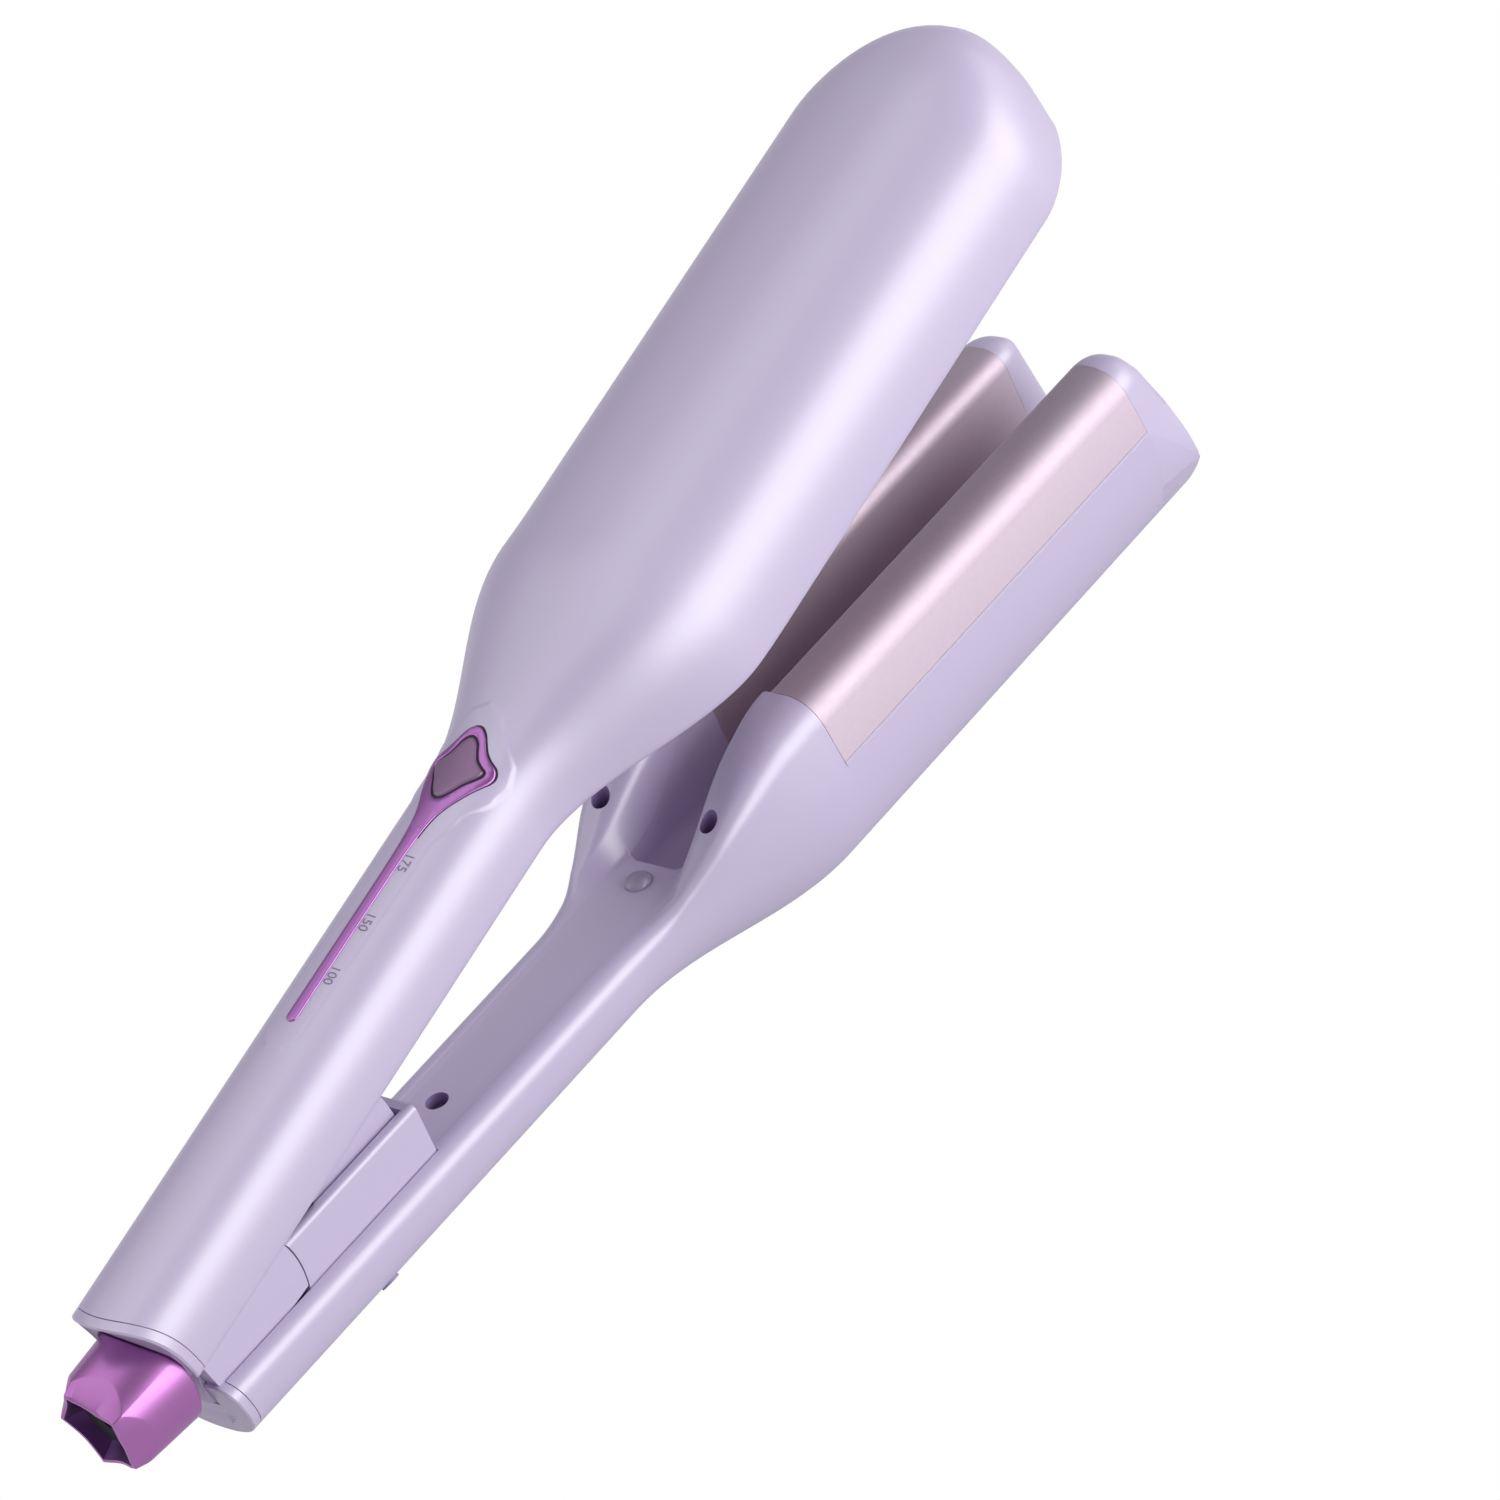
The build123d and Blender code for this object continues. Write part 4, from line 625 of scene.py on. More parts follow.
def curve_through(points, count=6):
    """Smooth open curve through points."""
    line = []
    for i in range(len(points) - 1):
        p0 = Vector(points[max(i - 1, 0)])
        p1 = Vector(points[i])
        p2 = Vector(points[i + 1])
        p3 = Vector(points[min(i + 2, len(points) - 1)])
        for k in range(count):
            t = k / count
            bend = (p2 - p0) * t + (2 * p0 - 5 * p1 + 4 * p2 - p3) * t * t
            line.append(p1 + (bend + (3 * p1 - p0 - 3 * p2 + p3) * t ** 3) * 0.5)
    line.append(Vector(points[-1]))
    return [(p.x, p.y) for p in line]


def loop_of(side):
    """Closed outline from its +Y half."""
    half = curve_through(side)
    return half + [(s, -y) for s, y in reversed(half[1:-1])]


def shrunk(loop, amount):
    """Outline moved inwards along its own normals; loops run clockwise seen from above."""
    moved = []
    for i, (s, y) in enumerate(loop):
        before = Vector(loop[i - 1])
        after = Vector(loop[(i + 1) % len(loop)])
        along = (after - before).normalized()
        moved.append((s + along.y * amount, y - along.x * amount))
    return moved


def flat_fill(outer, inner, spacing):
    """Fills a loop, less an inner one, with small triangles."""
    points = [Vector(p) for p in outer + inner]
    count = len(outer)
    edges = [(i, (i + 1) % count) for i in range(count)]
    edges += [(count + i, count + (i + 1) % len(inner)) for i in range(len(inner))]
    low_s = min(p[0] for p in outer)
    high_s = max(p[0] for p in outer)
    widest = max(p[1] for p in outer)
    for s in steps(low_s, high_s, int((high_s - low_s) / spacing)):
        for y in steps(-widest, widest, int(2 * widest / spacing)):
            if within((s, y), outer, spacing / 3) and not within((s, y), inner, -spacing / 3):
                points.append(Vector((s, y)))
    result = geometry.delaunay_2d_cdt(points, edges, [], 1, TOUCHING)
    verts, faces = result[0], result[2]
    kept = []
    for face in faces:
        middle = sum((verts[i] for i in face), Vector((0, 0))) / len(face)
        if within(middle, outer, 0) and not within(middle, inner, 0):
            kept.append(tuple(face))
    return [(v.x, v.y) for v in verts], kept


def within(point, loop, margin):
    """Whether a point is inside a loop by at least margin."""
    if not loop:
        return False
    x, y = point[0], point[1]
    inside = False
    near = math.inf
    for i in range(len(loop)):
        x0, y0 = loop[i - 1]
        x1, y1 = loop[i]
        if (y0 > y) != (y1 > y) and x < (x1 - x0) * (y - y0) / (y1 - y0) + x0:
            inside = not inside
        if margin:
            near = min(near, math.hypot(x1 - x, y1 - y))
    if margin > 0:
        return inside and near > margin
    if margin < 0:
        return inside or near < -margin
    return inside


def joined(parts):
    """Points and faces of several (points, faces) as one."""
    points = []
    faces = []
    for more_points, more_faces in parts:
        base = len(points)
        points += more_points
        faces += [tuple(i + base for i in face) for face in more_faces]
    return points, faces


def rolled_wall(loop, sign, low, top, bevel):
    """Wall on the crown along a loop, its top bevelled inwards, or outwards for sign -1."""
    corner = bevel * BEVEL_CORNER
    profile = ((0.0, low), (0.0, top - bevel), (corner, top - corner), (bevel, top))
    rows = []
    for inset, height in profile:
        rows.append([on_crown(s, y, height) for s, y in shrunk(loop, sign * inset)])
    return skin(rows, caps=(False, False))


def sheet(outer, inner, height):
    """Sheet at one height over the crown, within a loop and round its hole."""
    verts, fill = flat_fill(outer, inner, RAISED_SPACING)
    return [on_crown(s, y, height) for s, y in verts], fill


def raised_plate(name, outer, inner, low, top, bevel, body, coat):
    """Plate that follows the crown, with rolled edges outside and round its hole."""
    parts = [rolled_wall(outer, 1, low, top, bevel)]
    top_inner = []
    if inner:
        parts.append(rolled_wall(inner, -1, low, top, bevel))
        top_inner = shrunk(inner, -bevel)
    parts.append(sheet(shrunk(outer, bevel), top_inner, top))
    parts.append(sheet(outer, inner, low))
    return make(name, *joined(parts), body, coat, swung=True, crease=RAISED_CREASE, merge=RAISED_MERGE)


def star_well_cutter():
    """Opening in the shell for the star button."""
    loop = shrunk(loop_of(HOLE_SIDE), -STAR_WELL_PLAY)
    rows = [[(s, y, z) for s, y in loop] for z in STAR_WELL_Z]
    return cutter(*skin(rows), swung=True)


def wand():
    """Star bezel and strip in one."""
    outer = loop_of(WAND_SIDE)
    hole = loop_of(HOLE_SIDE)
    top = PAD_LIFT + WAND_RISE
    name = "light_wand_skin"
    piece = raised_plate(name, outer, hole, WAND_FOOT, top, WAND_BEVEL, "upper_arm", MAGENTA)
    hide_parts("light_wand")


def painted_bezel_shadow():
    """Painted shadow line: a flat dark sheet on the crown beside the bezel, on its forward near side."""
    along, across = SHADOW_SHIFT
    loop = [(s + along, y + across) for s, y in loop_of(WAND_SIDE) if s > SHADOW_START_S]
    verts, fill = flat_fill(loop, [], SHADOW_SPACING)
    points = [on_crown(s, y, PAD_LIFT + SHADOW_LIFT) for s, y in verts]
    make("painted_bezel_shadow_sheet", points, fill, "upper_arm", NYLON_AND_PAINTED_SHADOW, swung=True, crease=SHADOW_CREASE)


def written(text):
    """Flat mesh of a number, centred on its length."""
    curve = bpy.data.curves.new("mark", "FONT")
    curve.body = text
    curve.size = MARK_SIZE
    curve.align_x = "CENTER"
    holder = linked("mark", curve)
    bpy.context.view_layer.update()
    ready = holder.evaluated_get(bpy.context.evaluated_depsgraph_get())
    flat = bpy.data.meshes.new_from_object(ready)
    bpy.data.objects.remove(holder)
    return flat


def mark(middle_s, text):
    """One heat mark beside the strip, read from the tip towards the butt."""
    flat = written(text)
    points = []
    for vertex in flat.vertices:
        s = middle_s - vertex.co.x
        y = MARK_Y - vertex.co.y
        points.append(on_crown(s, y, pad_lift(s, y) + MARK_LIFT))
    faces = [tuple(face.vertices) for face in flat.polygons]
    make("mark_" + text, points, faces, "upper_arm", INK, swung=True, merge=MARK_MERGE)


def button():
    """Star button in the bezel."""
    loop = shrunk(loop_of(HOLE_SIDE), BUTTON_GAP)
    top = PAD_LIFT + BUTTON_RISE
    piece = raised_plate("star_button", loop, [], BUTTON_FOOT, top, BUTTON_BEVEL, "power_button", MAUVE)
    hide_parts("power_button")


# ---- plates ------------------------------------------------------------------
PLATE_PLAY = 0.05
PLATE_CREASE = 40


def heat_plate(name, line_of, body, swung, node):
    """Metal plate bent along a jaw's outline."""
    outline = line_of(0.0) + line_of(PLATE_WALL)[::-1]
    rings = prism(outline, (PLATE_S + PLATE_PLAY, PLATE_END_S - PLATE_PLAY))
    piece = make(name, *skin(rings), body, ROSE, swung=swung, crease=PLATE_CREASE)
    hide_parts(node)


# ---- lower arm ---------------------------------------------------------------
KEEL_COUNT = 30
LOWER_CORNERS = 10
LIP_FADE = (BELLY[0], 160.0)
LOWER_BUTT_AHEAD = 3.2
LOWER_BUTT_LEAN = 3.4
# the fairings' crest: how far it is parted at first, where that ends, how it is rounded
FAIRING_POWER = 2.2
FAIRING_PARTED = 4.5
PARTED_END_S = PLATE_S - 6.0
FAIRING_ROUND = 7.0
CREST_ROOM = 1.1
ROUNDS_SHARE = 0.9
DROP_SHARE = 0.7
# the groove pocket: its rear edge, its corners, the shelf beside it and its foot
POCKET_ROLL = 0.9
POCKET_LEAN = 0.7
POCKET_CORNER = 2.2
POCKET_SPLAY = 0.6
POCKET_EDGE = (0.3, 0.7)
POCKET_EDGE_DEPTH = 4.0
POCKET_FOOT = 0.5
POCKET_DRAFT = 0.05
FLOOR_SHARE = 0.6
SHELF_RISE = 0.8
SLOPE_ROUND = 2.0
LEAST_DROP = 0.05
HEAD_EDGE = 0.4
HEAD_STEPS = 30
HEAD_START = 0.01     # from the last closed section to the first open one
LOWER_CREASE = 38
# stretches of the shell's sections, before and behind the pocket's rear edge
HANDLE_RUNS = ((6.0, 128.0, 40), (129.5, POCKET_S - 1.1, 30))
POCKET_ROLL_STEPS = 6
POCKET_RUNS = (
    (POCKET_S + 1.0, POCKET_S + POCKET_CORNER, 6), (POCKET_S + 4.0, PLATE_S - SEAM, 36),
)
# wells in the handle's face
HOUSING_PLAY = 0.3
HOUSING_FLOOR_Z = 19.3
SLOT_HALF = 8.0
SLOT_FLOOR_Z = 12.9
FACE_SCREW_S = 84.0
FACE_SCREW_FLOOR_Z = 22.0
FACE_SCREW_RADIUS = 2.5
FAIRING_SCREW_S = 162.0
FAIRING_SCREW_Y = 14.9
FAIRING_SCREW_FLOOR_Z = 29.8
FAIRING_SCREW_RADIUS = 2.2
BUMPER_RADIUS = 3.0
BUMPER_RISE = 1.95
BUMPER_DEPTH = 1.4
BUMPER_STEPS = 10
BUMPER_WELL_FLOOR_Z = 24.3
BUMPER_WELL_RADIUS = 3.05


def fairing_rise(s):
    """0 on the handle's face, 1 at the plate, where it runs level into the ridge."""
    t = share_of(s, (FAIRING_S, PLATE_S))
    return mix(ease(s, (FAIRING_S, PLATE_S)), 1 - (1 - t) ** FAIRING_POWER, t)


def lower_lip(s):
    """Rounding along the lower arm's rim."""
    return mix(HANDLE_LIP, HEAD_LIP, ease(s, LIP_FADE))


def keel_half(half, side_z, depth):
    """Half section of a shell's outside, from under the keel out and up to side_z."""
    keel = [(y, max(side_z - z, 0.0)) for y, z in arch(half, depth, 2 * KEEL_COUNT)]
    return keel[KEEL_COUNT::-1]


def closed_ring(s, right):
    """Closed section from its +Y half."""
    return [(s, y, z) for y, z in right] + [(s, -y, z) for y, z in reversed(right[1:-1])]


def pocket_depth(run):
    """Depth of the groove pocket, run ahead of its rear edge, which is rolled over."""
    depth = FACE_Z - GROOVE_FLOOR_Z
    if run <= -POCKET_ROLL:
        return 0.0
    if run <= 0:
        return POCKET_ROLL - math.sqrt(max(POCKET_ROLL ** 2 - (run + POCKET_ROLL) ** 2, 0.0))
    return mix(POCKET_ROLL, depth, min(run / POCKET_LEAN, 1.0))


def lower_half_section(s):
    """Half of the lower arm's section, from under the keel out, up and in to the middle."""
    half = lower_half(s)
    rise = fairing_rise(s)
    top = mix(lower_rim(s), RIDGE_TOP_Z, rise)
    lip = lower_lip(s)
    keel = keel_half(half, lower_rim(s) - lip, lower_depth(s) - lip)
    crest_half = mix(half, RIDGE_SHOULDER_HALF, rise)
    outer_round = mix(lip, OUTER_ROUND, rise)
    parted = FAIRING_PARTED * (1 - ease(s, (FAIRING_S, PARTED_END_S)))
    inner_top = min(GROOVE_TOP_HALF + parted, crest_half - CREST_ROOM * outer_round)
    run = s - POCKET_S
    depth = pocket_depth(run)
    full = GROOVE_BOTTOM_HALF + POCKET_SPLAY
    behind = min(max(1 - run / POCKET_CORNER, 0.0), 1.0)
    edge = full - POCKET_CORNER * (1 - math.sqrt(1 - behind ** 2))
    shelf_share = SHELF_RISE * ease(s, (POCKET_S, PLATE_S))
    shelf_z = min(mix(FACE_Z, top, shelf_share), top - LEAST_DROP)
    floor = FACE_Z - depth
    foot = edge - POCKET_FOOT - POCKET_DRAFT * depth
    drop = max(top - shelf_z, LEAST_DROP)
    inner_round = min(mix(FAIRING_ROUND, INNER_ROUND, rise), DROP_SHARE * drop)
    edge_round = mix(*POCKET_EDGE, min(depth / POCKET_EDGE_DEPTH, 1.0))
    floor_round = min(GROOVE_ROUND, FLOOR_SHARE * depth)
    room = crest_half - inner_top
    squeeze = min(1.0, ROUNDS_SHARE * room / (outer_round + inner_round + LEAST_RADIUS))
    up = (1 - behind) / 2
    slope_foot = (mix(full, inner_top, up), mix(shelf_z, top, up))
    corners = [keel[-1], (crest_half, top), (inner_top, top), slope_foot, (edge, shelf_z)]
    corners += [(foot, floor), (0.0, floor)]
    radii = (outer_round * squeeze, inner_round * squeeze, SLOPE_ROUND * behind, edge_round, floor_round)
    return keel[:-1] + rounded(corners, radii, LOWER_CORNERS)


def lower_butt_ahead(s, z):
    """How far the lower butt's end lies ahead of the frame's; it leans under the handle."""
    depth = (FACE_Z - z) / HANDLE_DEPTH
    return (LOWER_BUTT_AHEAD + LOWER_BUTT_LEAN * depth) * (1 - ease(s, (0.0, BUTT_FADE)))


def lower_ring(s):
    """Closed section of the lower arm from the butt to the plate."""
    ring = closed_ring(s, lower_half_section(s))
    return [(s + lower_butt_ahead(s, z), y, z) for s, y, z in ring]


def trough_shell_ring(s, count):
    """Open head shell's section, its half with as many points as the closed ones' half."""
    half = lower_half(s)
    side_z = lower_rim(s) - HEAD_LIP
    depth = lower_depth(s) - HEAD_LIP
    keel = keel_half(half, side_z, depth)
    inner_half = half - LOWER_WALL
    rim = [(half, LOWER_RIM_Z - HEAD_EDGE), (half - HEAD_EDGE, LOWER_RIM_Z), (inner_half, LOWER_RIM_Z)]
    spare = count - len(keel) - len(rim)
    inner = [(y, side_z - z) for y, z in arch(inner_half, depth - LOWER_WALL, 2 * spare)]
    return closed_ring(s, keel + rim + inner[1:spare + 1])


def lower_stations():
    """Stations of the closed sections, close together round the pocket's rear edge."""
    stations = [REAR_CAP + SEAM, REAR_CAP + SEAM + END_ROUND] + stations_of(HANDLE_RUNS)
    for turn in steps(0, math.pi / 2, POCKET_ROLL_STEPS)[:-1]:
        stations.append(POCKET_S - POCKET_ROLL * math.cos(turn))
    return stations + [POCKET_S, POCKET_S + POCKET_LEAN] + stations_of(POCKET_RUNS)


def face_wells():
    """Cutters of the housing's well, the screws' wells and the bumper's recess."""
    end_s = HOUSING_END_S + HOUSING_PLAY
    tools = [
        slot_cutter(end_s, BLOCK_HALF + HOUSING_PLAY, HOUSING_FLOOR_Z),
        slot_cutter(end_s, SLOT_HALF, SLOT_FLOOR_Z),
        hole_cutter(FACE_SCREW_S, 0.0, FACE_SCREW_FLOOR_Z, FACE_SCREW_RADIUS),
    ]
    for side in (-1, 1):
        y = side * FAIRING_SCREW_Y
        tools.append(hole_cutter(FAIRING_SCREW_S, y, FAIRING_SCREW_FLOOR_Z, FAIRING_SCREW_RADIUS))
    tools.append(hole_cutter(BUMPER_S, 0.0, BUMPER_WELL_FLOOR_Z, BUMPER_WELL_RADIUS))
    return tools


def lower_skin():
    """Lower shell and inner cover in one, open under the heat plate."""
    rings = [lower_ring(s) for s in lower_stations()]
    count = len(lower_half_section(POCKET_S))
    for s in steps(PLATE_S - SEAM + HEAD_START, PLATE_END_S, HEAD_STEPS):
        rings.append(trough_shell_ring(s, count))
    piece = make("shell_lower", *skin(rings), "lower_arm", PEARL, crease=LOWER_CREASE)
    cut(piece, face_wells(), crease=LOWER_CREASE)
    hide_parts("lower_shell", "lower_inner_cover")


# ---- lower jaw's closed end --------------------------------------------------
RIDGE_CAP_LENGTH = 8.2
CAP_LENGTH = 11.0
CAP_CORNER_Z = 14.5
CAP_LEAN_POWER = 2.2
CAP_ROUNDING = 4.8
CAP_ROUNDED_Z = RIDGE_TOP_Z - 3.0
CAP_EDGE = 0.25
CAP_MIDDLE = (10.0, 20.0)
CAP_STEPS = 18
CAP_TURN = math.radians(80)
# sweep of the sides: its size, where across it comes in, its reach up and down, its sharpness
CAP_FLARE = 2.2
CAP_FLARE_Y = (15.0, 24.0)
CAP_FLARE_REACH = 12.0
CAP_FLARE_POWER = 1.3
CAP_FLARE_SWEEP = 3
# crease round the lower corners: its share, the heights over which it fades and its widths
CAP_CREASE = 0.7
CAP_CREASE_Z = (30.0, 40.0)
CAP_CREASE_Y = (12.0, 20.0)
CAP_POINT_GAP = 0.3
CAP_SPACING = 1.6
CAP_SHARP = 14        # degrees past which its edges stay sharp
CAP_MERGE = 0.02


def cap_length(z):
    """Length of the lower jaw's closed end; its end face curves back towards the ridges' tops."""
    lean = share_of(z, (CAP_CORNER_Z, RIDGE_TOP_Z - CAP_ROUNDING))
    return mix(RIDGE_CAP_LENGTH, CAP_LENGTH, 1 - lean ** CAP_LEAN_POWER)


def cap_bulge(y, z, top):
    """0 at the end's side corners and 1 from a height up, and across the middle."""
    return max(share_of(z, (CAP_CORNER_Z, top)), 1 - ease(abs(y), CAP_MIDDLE))


def cap_flare(y, z):
    """Outward sweep of the sides at the end, most at the corners' height."""
    near = max(0.0, 1 - abs(z - CAP_CORNER_Z) / CAP_FLARE_REACH)
    return CAP_FLARE * ease(abs(y), CAP_FLARE_Y) * near ** CAP_FLARE_POWER


def cap_ring(outline, turn):
    """Outline drawn in and moved ahead, turn round its edge rounding."""
    ahead = math.sin(turn) / math.sin(CAP_TURN)
    drawn_in = (1 - math.cos(turn)) / (1 - math.cos(CAP_TURN))
    ring = []
    for i, (y, z) in enumerate(outline):
        before = Vector(outline[i - 1])
        after = Vector(outline[(i + 1) % len(outline)])
        along = (after - before).normalized()
        wall = 1 - cap_bulge(y, z, LOWER_RIM_Z)
        creased = CAP_CREASE * (1 - ease(z, CAP_CREASE_Z)) * ease(abs(y), CAP_CREASE_Y)
        rounding = mix(CAP_EDGE, CAP_ROUNDING, cap_bulge(y, z, CAP_ROUNDED_Z))
        inset = mix(drawn_in, ahead, creased) * rounding
        drawn_z = z - along.x * inset
        length = cap_length(drawn_z)
        s = length * mix(wall, 1.0, ahead)
        side = math.copysign(cap_flare(y, z) * (s / length) ** CAP_FLARE_SWEEP, y)
        ring.append((PLATE_END_S + SEAM + s, y + along.y * inset + side, drawn_z))
    return ring


def distinct(outline, gap):
    """Outline without the points that lie within gap of the last one kept."""
    kept = []
    for p in outline:
        if not kept or math.dist(p, kept[-1]) > gap:
            kept.append(p)
    return kept


def front_cap():
    """Closed end of the lower jaw: rounded ridges, a leaning end face and flared sides."""
    side_z = LOWER_RIM_Z - HEAD_LIP
    depth = LOWER_RIM_Z + BELLY_CUT - HEAD_LIP
    keel = [(y, max(side_z - z, 0.0)) for y, z in arch(LOWER_HEAD_HALF, depth, 2 * KEEL_COUNT)]
    # the keel's ends make way for the ridges' feet
    outline = distinct(ridge_line() + keel[2:-2], CAP_POINT_GAP)
    rings = [[(PLATE_END_S, y, z) for y, z in outline]]
    rings += [cap_ring(outline, turn) for turn in steps(0, CAP_TURN, CAP_STEPS)]
    verts, fill = flat_fill([(y, z) for _, y, z in rings[-1]], [], CAP_SPACING)
    end_face = [(PLATE_END_S + SEAM + cap_length(z), y, z) for y, z in verts]
    shape = joined([skin(rings, caps=(True, False)), (end_face, fill)])
    piece = make("cap_lower_front", *shape, "lower_arm", PEARL, crease=CAP_SHARP, merge=CAP_MERGE)
    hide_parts("lower_front_cap")


# ---- butts and tail ----------------------------------------------------------
BUTT_SWING = 3.2
NOTCH_PLAY = 0.5
NOTCH_REACH = 9.0
NOTCH_COUNT = 48
BUTT_COUNT = 60
UPPER_BUTT_ROUND = 0.35
LOWER_BUTT_ROUND = 0.3
BUTT_CHAMFER = 0.15
BUTT_MIDDLE = 8.0     # depth under the face towards which the lower butt's edges are drawn
NECK_HALF = BLOCK_HALF - 3.5
NECK_END_S = 15.0
TAIL_PETALS = 5
TAIL_COUNT = 240
TAIL_SKEW = 0.14
TAIL_SKEW_LENGTH = 7.0
PETAL_CUSP = math.radians(146.5)
PETAL_POWER = 0.8
# bands inside the tail's mouth that are painted in shade
SHADED_MOUTH_BANDS = 3
TAIL_CREASE = 30
# (ahead of the tail's end, radius) at the middle of a petal and at a cusp, ending in the mouth
TAIL_PROFILE = (
    ((TAIL_S - TAIL_END_S, TAIL_RADIUS - 1.2), (TAIL_S - TAIL_END_S, TAIL_RADIUS - 1.2)),
    ((TAIL_S - TAIL_END_S, TAIL_RADIUS - 0.5), (TAIL_S - TAIL_END_S, TAIL_RADIUS - 0.5)),
    ((TAIL_S - TAIL_END_S - 0.5, TAIL_RADIUS), (TAIL_S - TAIL_END_S - 0.5, TAIL_RADIUS)),
    ((6.2, TAIL_END_RADIUS), (3.0, TAIL_END_RADIUS)),
    ((5.8, TAIL_END_RADIUS - 0.1), (2.6, TAIL_END_RADIUS - 0.1)),
    ((1.3, 8.7), (0.4, 10.4)),
    ((0.8, 8.2), (0.0, 10.0)),
    ((0.9, 7.5), (0.2, 9.3)),
    ((3.4, 6.4), (3.0, 7.6)),
    ((5.0, 5.6), (5.0, 5.6)),
    ((5.4, 0.5), (5.4, 0.5)),
)


def tail_notch():
    """Round opening in the upper butt for the tail cap, wide enough for the swing; its walls are painted
    shade.
    """
    radius = TAIL_RADIUS + NOTCH_PLAY
    outline = []
    for turn in steps(0, 2 * math.pi, NOTCH_COUNT)[:-1]:
        rise = BUTT_SWING if math.sin(turn) > 0 else 0.0
        outline.append((radius * math.cos(turn), TAIL_Z + rise + radius * math.sin(turn)))
    rings = prism(outline, (-NOTCH_REACH, NOTCH_REACH))
    return cutter(*skin(rings), swung=True, wall_finish=PAINTED_WELL_SHADE)


def butt_profile(rounding):
    """(station, inset) through an end plate, rounded behind and chamfered ahead."""
    return ((0.0, rounding), (rounding, 0.0), (REAR_CAP - BUTT_CHAMFER, 0.0), (REAR_CAP, BUTT_CHAMFER))


def upper_butt():
    """End plate of the upper handle."""
    tuck = LIP_TUCK * HANDLE_ROLL
    rings = []
    for s, inset in butt_profile(UPPER_BUTT_ROUND):
        half = HANDLE_HALF - inset
        section = arch(half, HANDLE_CROWN - HANDLE_ROLL - inset, BUTT_COUNT)
        ring = [(s - butt_back(s, y, z), y, UPPER_FACE_Z + HANDLE_ROLL + z) for y, z in section]
        ring += rolled_edge(s, -1, half, UPPER_FACE_Z, HANDLE_ROLL, tuck)
        ring += reversed(rolled_edge(s, 1, half, UPPER_FACE_Z, HANDLE_ROLL, tuck))
        rings.append(ring)
    piece = make("butt_upper", *skin(rings), "upper_arm", PEARL, swung=True)
    cut(piece, [tail_notch()])
    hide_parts("upper_rear_cap")


def lower_butt():
    """End plate of the lower handle."""
    middle_z = FACE_Z - BUTT_MIDDLE
    rings = []
    for station, inset in butt_profile(LOWER_BUTT_ROUND):
        narrowed = 1 - inset / HANDLE_HALF
        drawn = inset / BUTT_MIDDLE
        rings.append([(s, y * narrowed, mix(z, middle_z, drawn)) for s, y, z in lower_ring(station)])
    piece = make("butt_lower", *skin(rings), "lower_arm", PEARL)
    cut(piece, [slot_cutter(NECK_END_S, NECK_HALF, HOUSING_FLOOR_Z)])
    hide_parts("lower_rear_cap")


def petal(turn):
    """1 in the middle of a petal and 0 at the cusps between petals."""
    return abs(math.sin(TAIL_PETALS / 2 * (turn - PETAL_CUSP)))


def tail():
    """Tail cap: a tapered drum whose end is bevelled into five petals round a wavy mouth, whose inside
    is painted shade.
    """
    rows = []
    for middle, cusp in TAIL_PROFILE:
        row = []
        for turn in steps(0, 2 * math.pi, TAIL_COUNT)[:-1]:
            share = petal(turn) ** PETAL_POWER
            run = mix(cusp[0], middle[0], share)
            radius = mix(cusp[1], middle[1], share)
            if run < TAIL_SKEW_LENGTH:
                skewed = TAIL_SKEW * radius * math.cos(turn - PETAL_CUSP)
                run = max(run - skewed * (TAIL_SKEW_LENGTH - run) / TAIL_SKEW_LENGTH, 0.0)
            row.append((TAIL_END_S + run, radius * math.cos(turn), TAIL_Z + radius * math.sin(turn)))
        rows.append(row)
    piece = make("tail_petals", *skin(rows), "lower_arm", TAIL, crease=TAIL_CREASE)
    # the mouth's inner bands take the painted shade
    piece.data.materials.append(PAINTED_MOUTH_SHADE)
    wall_faces = (len(rows) - 1) * TAIL_COUNT
    for face in piece.data.polygons:
        if wall_faces - SHADED_MOUTH_BANDS * TAIL_COUNT <= face.index < wall_faces:
            face.material_index = 1
    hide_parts("tail_cap")


def bumper():
    """Soft clear dome the jaw closes onto."""
    rows = [round_ring(BUMPER_S, 0.0, FACE_Z - BUMPER_DEPTH, BUMPER_RADIUS)]
    for turn in steps(0, math.pi / 2, BUMPER_STEPS)[:-1]:
        z = FACE_Z + BUMPER_RISE * math.sin(turn)
        rows.append(round_ring(BUMPER_S, 0.0, z, BUMPER_RADIUS * math.cos(turn)))
    piece = make("bumper_dome", *skin(rows), "lower_arm", SILICONE)
    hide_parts("closing_bumper")


# ---- studio ------------------------------------------------------------------
# metres from here on
CAMERA_SPOT = (-0.8294, -0.9949, 0.8872)
CAMERA_RIGHT = (0.585965, -0.739505, -0.331326)
CAMERA_UP = (0.633412, 0.162979, 0.756457)
CAMERA_BACK = (-0.505405, -0.653123, 0.563912)
AIM = (0.0, 0.0, 0.05)
WORLD_STRENGTH = 0.36
WORLD_TINT = (0.93, 0.92, 1.0)
FLOOR_HALF = 1.5
FLOOR_DROP = 0.0005
FLOOR_TONE = (0.66, 0.66, 0.68)
# painted light: the floor glows in reflections, fading from the key light's foot to the object
GLEAM_SPAN = (-0.65, -0.15)
GLEAM_FAR = 2.4
GLEAM_NEAR = 0.3


def camera():
    """The photograph's long lens, square to it."""
    eye = linked("camera", bpy.data.cameras.new("camera"))
    turn = Matrix((CAMERA_RIGHT, CAMERA_UP, CAMERA_BACK)).transposed()
    eye.matrix_world = Matrix.Translation(CAMERA_SPOT) @ turn.to_4x4()
    eye.data.sensor_width = 36.0
    eye.data.lens = 179.2
    eye.data.clip_end = 20.0
    bpy.context.scene.camera = eye


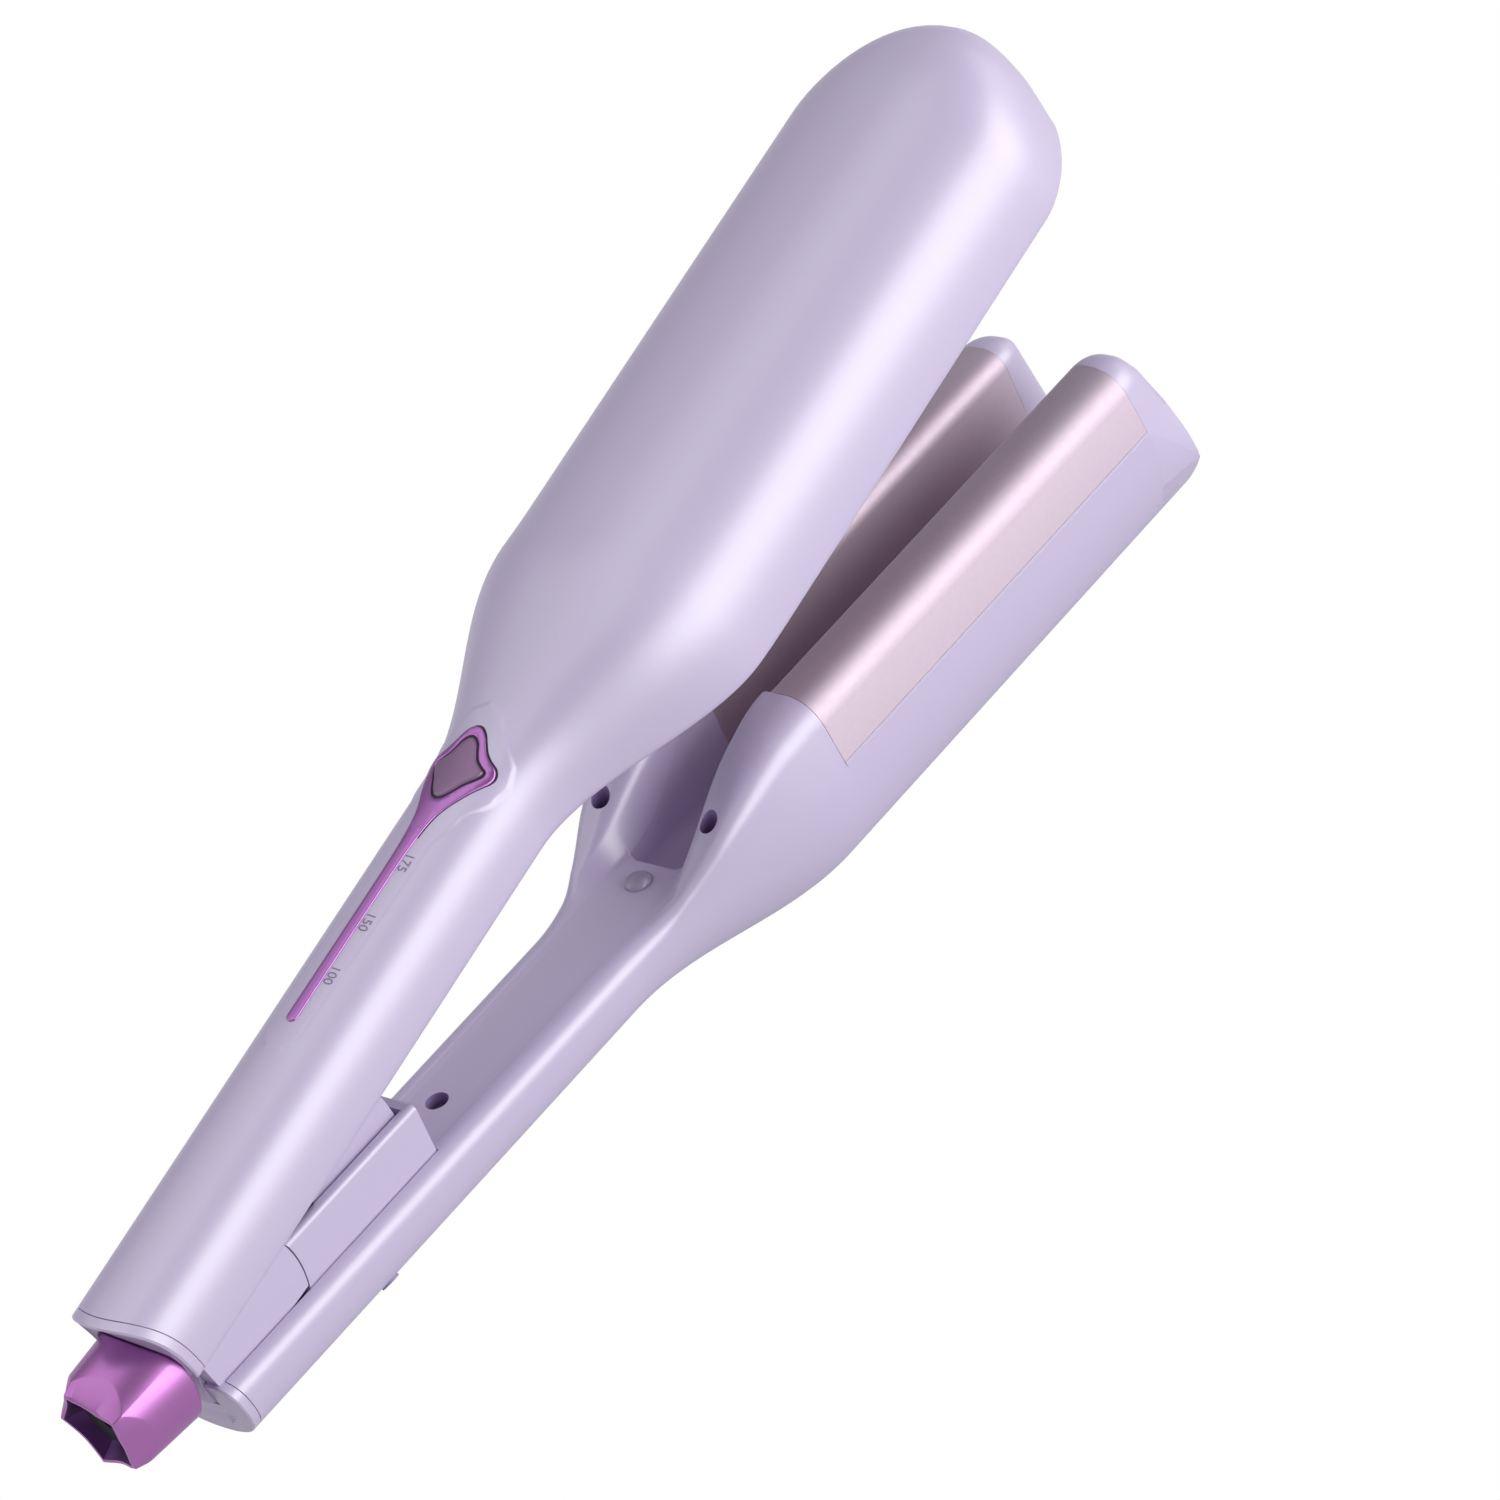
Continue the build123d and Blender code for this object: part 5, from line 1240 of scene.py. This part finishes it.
def area_light(name, spot, size, power):
    """Rectangular light aimed at the object, with its power in watts."""
    lamp = bpy.data.lights.new(name, "AREA")
    lamp.shape = "RECTANGLE"
    lamp.size = size[0]
    lamp.size_y = size[1]
    lamp.energy = power
    holder = linked(name, lamp)
    holder.location = spot
    holder.rotation_euler = (Vector(AIM) - Vector(spot)).to_track_quat("-Z", "Y").to_euler()


def studio_world():
    """White behind the object, softer light on it."""
    world = bpy.data.worlds.new("studio")
    bpy.context.scene.world = world
    world.use_nodes = True
    nodes = world.node_tree.nodes
    links = world.node_tree.links
    nodes.clear()
    path = nodes.new("ShaderNodeLightPath")
    lit = nodes.new("ShaderNodeBackground")
    lit.inputs["Color"].default_value = (*WORLD_TINT, 1)
    lit.inputs["Strength"].default_value = WORLD_STRENGTH
    white = nodes.new("ShaderNodeBackground")
    white.inputs["Color"].default_value = (1, 1, 1, 1)
    white.inputs["Strength"].default_value = 1.0
    choose = nodes.new("ShaderNodeMixShader")
    out = nodes.new("ShaderNodeOutputWorld")
    links.new(path.outputs["Is Camera Ray"], choose.inputs["Fac"])
    links.new(lit.outputs["Background"], choose.inputs[1])
    links.new(white.outputs["Background"], choose.inputs[2])
    links.new(choose.outputs["Shader"], out.inputs["Surface"])


def floor_material():
    """White to the camera, a graded painted glow in reflections, matte to the light."""
    material = bpy.data.materials.new("floor_white")
    material.use_nodes = True
    nodes = material.node_tree.nodes
    links = material.node_tree.links
    nodes.clear()
    path = nodes.new("ShaderNodeLightPath")
    matte = nodes.new("ShaderNodeBsdfDiffuse")
    matte.inputs["Color"].default_value = (*FLOOR_TONE, 1)
    white = nodes.new("ShaderNodeEmission")
    white.inputs["Strength"].default_value = 1.0
    choose = nodes.new("ShaderNodeMixShader")
    out = nodes.new("ShaderNodeOutputMaterial")
    place = nodes.new("ShaderNodeTexCoord")
    apart = nodes.new("ShaderNodeSeparateXYZ")
    # painted pool of light: glossy rays see the floor glowing, more towards the key
    gleam = nodes.new("ShaderNodeMapRange")
    links.new(place.outputs["Object"], apart.inputs["Vector"])
    links.new(apart.outputs["Y"], gleam.inputs["Value"])
    gleam.inputs["From Min"].default_value = GLEAM_SPAN[0]
    gleam.inputs["From Max"].default_value = GLEAM_SPAN[1]
    gleam.inputs["To Min"].default_value = GLEAM_FAR
    gleam.inputs["To Max"].default_value = GLEAM_NEAR
    seen = nodes.new("ShaderNodeMath")
    seen.operation = "MULTIPLY_ADD"
    links.new(path.outputs["Is Glossy Ray"], seen.inputs[0])
    links.new(gleam.outputs["Result"], seen.inputs[1])
    links.new(path.outputs["Is Camera Ray"], seen.inputs[2])
    links.new(seen.outputs["Value"], choose.inputs["Fac"])
    links.new(matte.outputs["BSDF"], choose.inputs[1])
    links.new(white.outputs["Emission"], choose.inputs[2])
    links.new(choose.outputs["Shader"], out.inputs["Surface"])
    return material


def studio_floor():
    """Square floor just under the object."""
    mesh = bpy.data.meshes.new("floor")
    corners = [(-1, -1), (1, -1), (1, 1), (-1, 1)]
    mesh.from_pydata([(x * FLOOR_HALF, y * FLOOR_HALF, 0) for x, y in corners], [], [(0, 1, 2, 3)])
    floor = linked("floor", mesh)
    floor.location.z = -FLOOR_DROP
    mesh.materials.append(floor_material())


def studio():
    """World, floor and four lights, each by its spot, size and power."""
    studio_world()
    studio_floor()
    area_light("key", (0.45, -1.2, 0.3), (2.4, 1.15), 25.0)
    area_light("sky", (-0.35, 0.45, 1.9), (2.4, 2.0), 11.0)
    area_light("front", (1.5, -0.3, 0.4), (1.0, 0.8), 2.0)
    area_light("left", (-1.0, 1.2, 0.7), (1.4, 1.0), 4.0)


dress_frame_nodes()
upper_shell()
wand()
painted_bezel_shadow()
for middle_s, text in MARKS:
    mark(middle_s, text)
button()
heat_plate("plate_upper", trough_line, "upper_arm", True, "upper_heat_plate")
heat_plate("plate_lower", ridge_line, "lower_arm", False, "lower_heat_plate")
lower_skin()
front_cap()
upper_butt()
lower_butt()
tail()
bumper()
camera()
studio()
bpy.context.scene.view_settings.view_transform = "Standard"
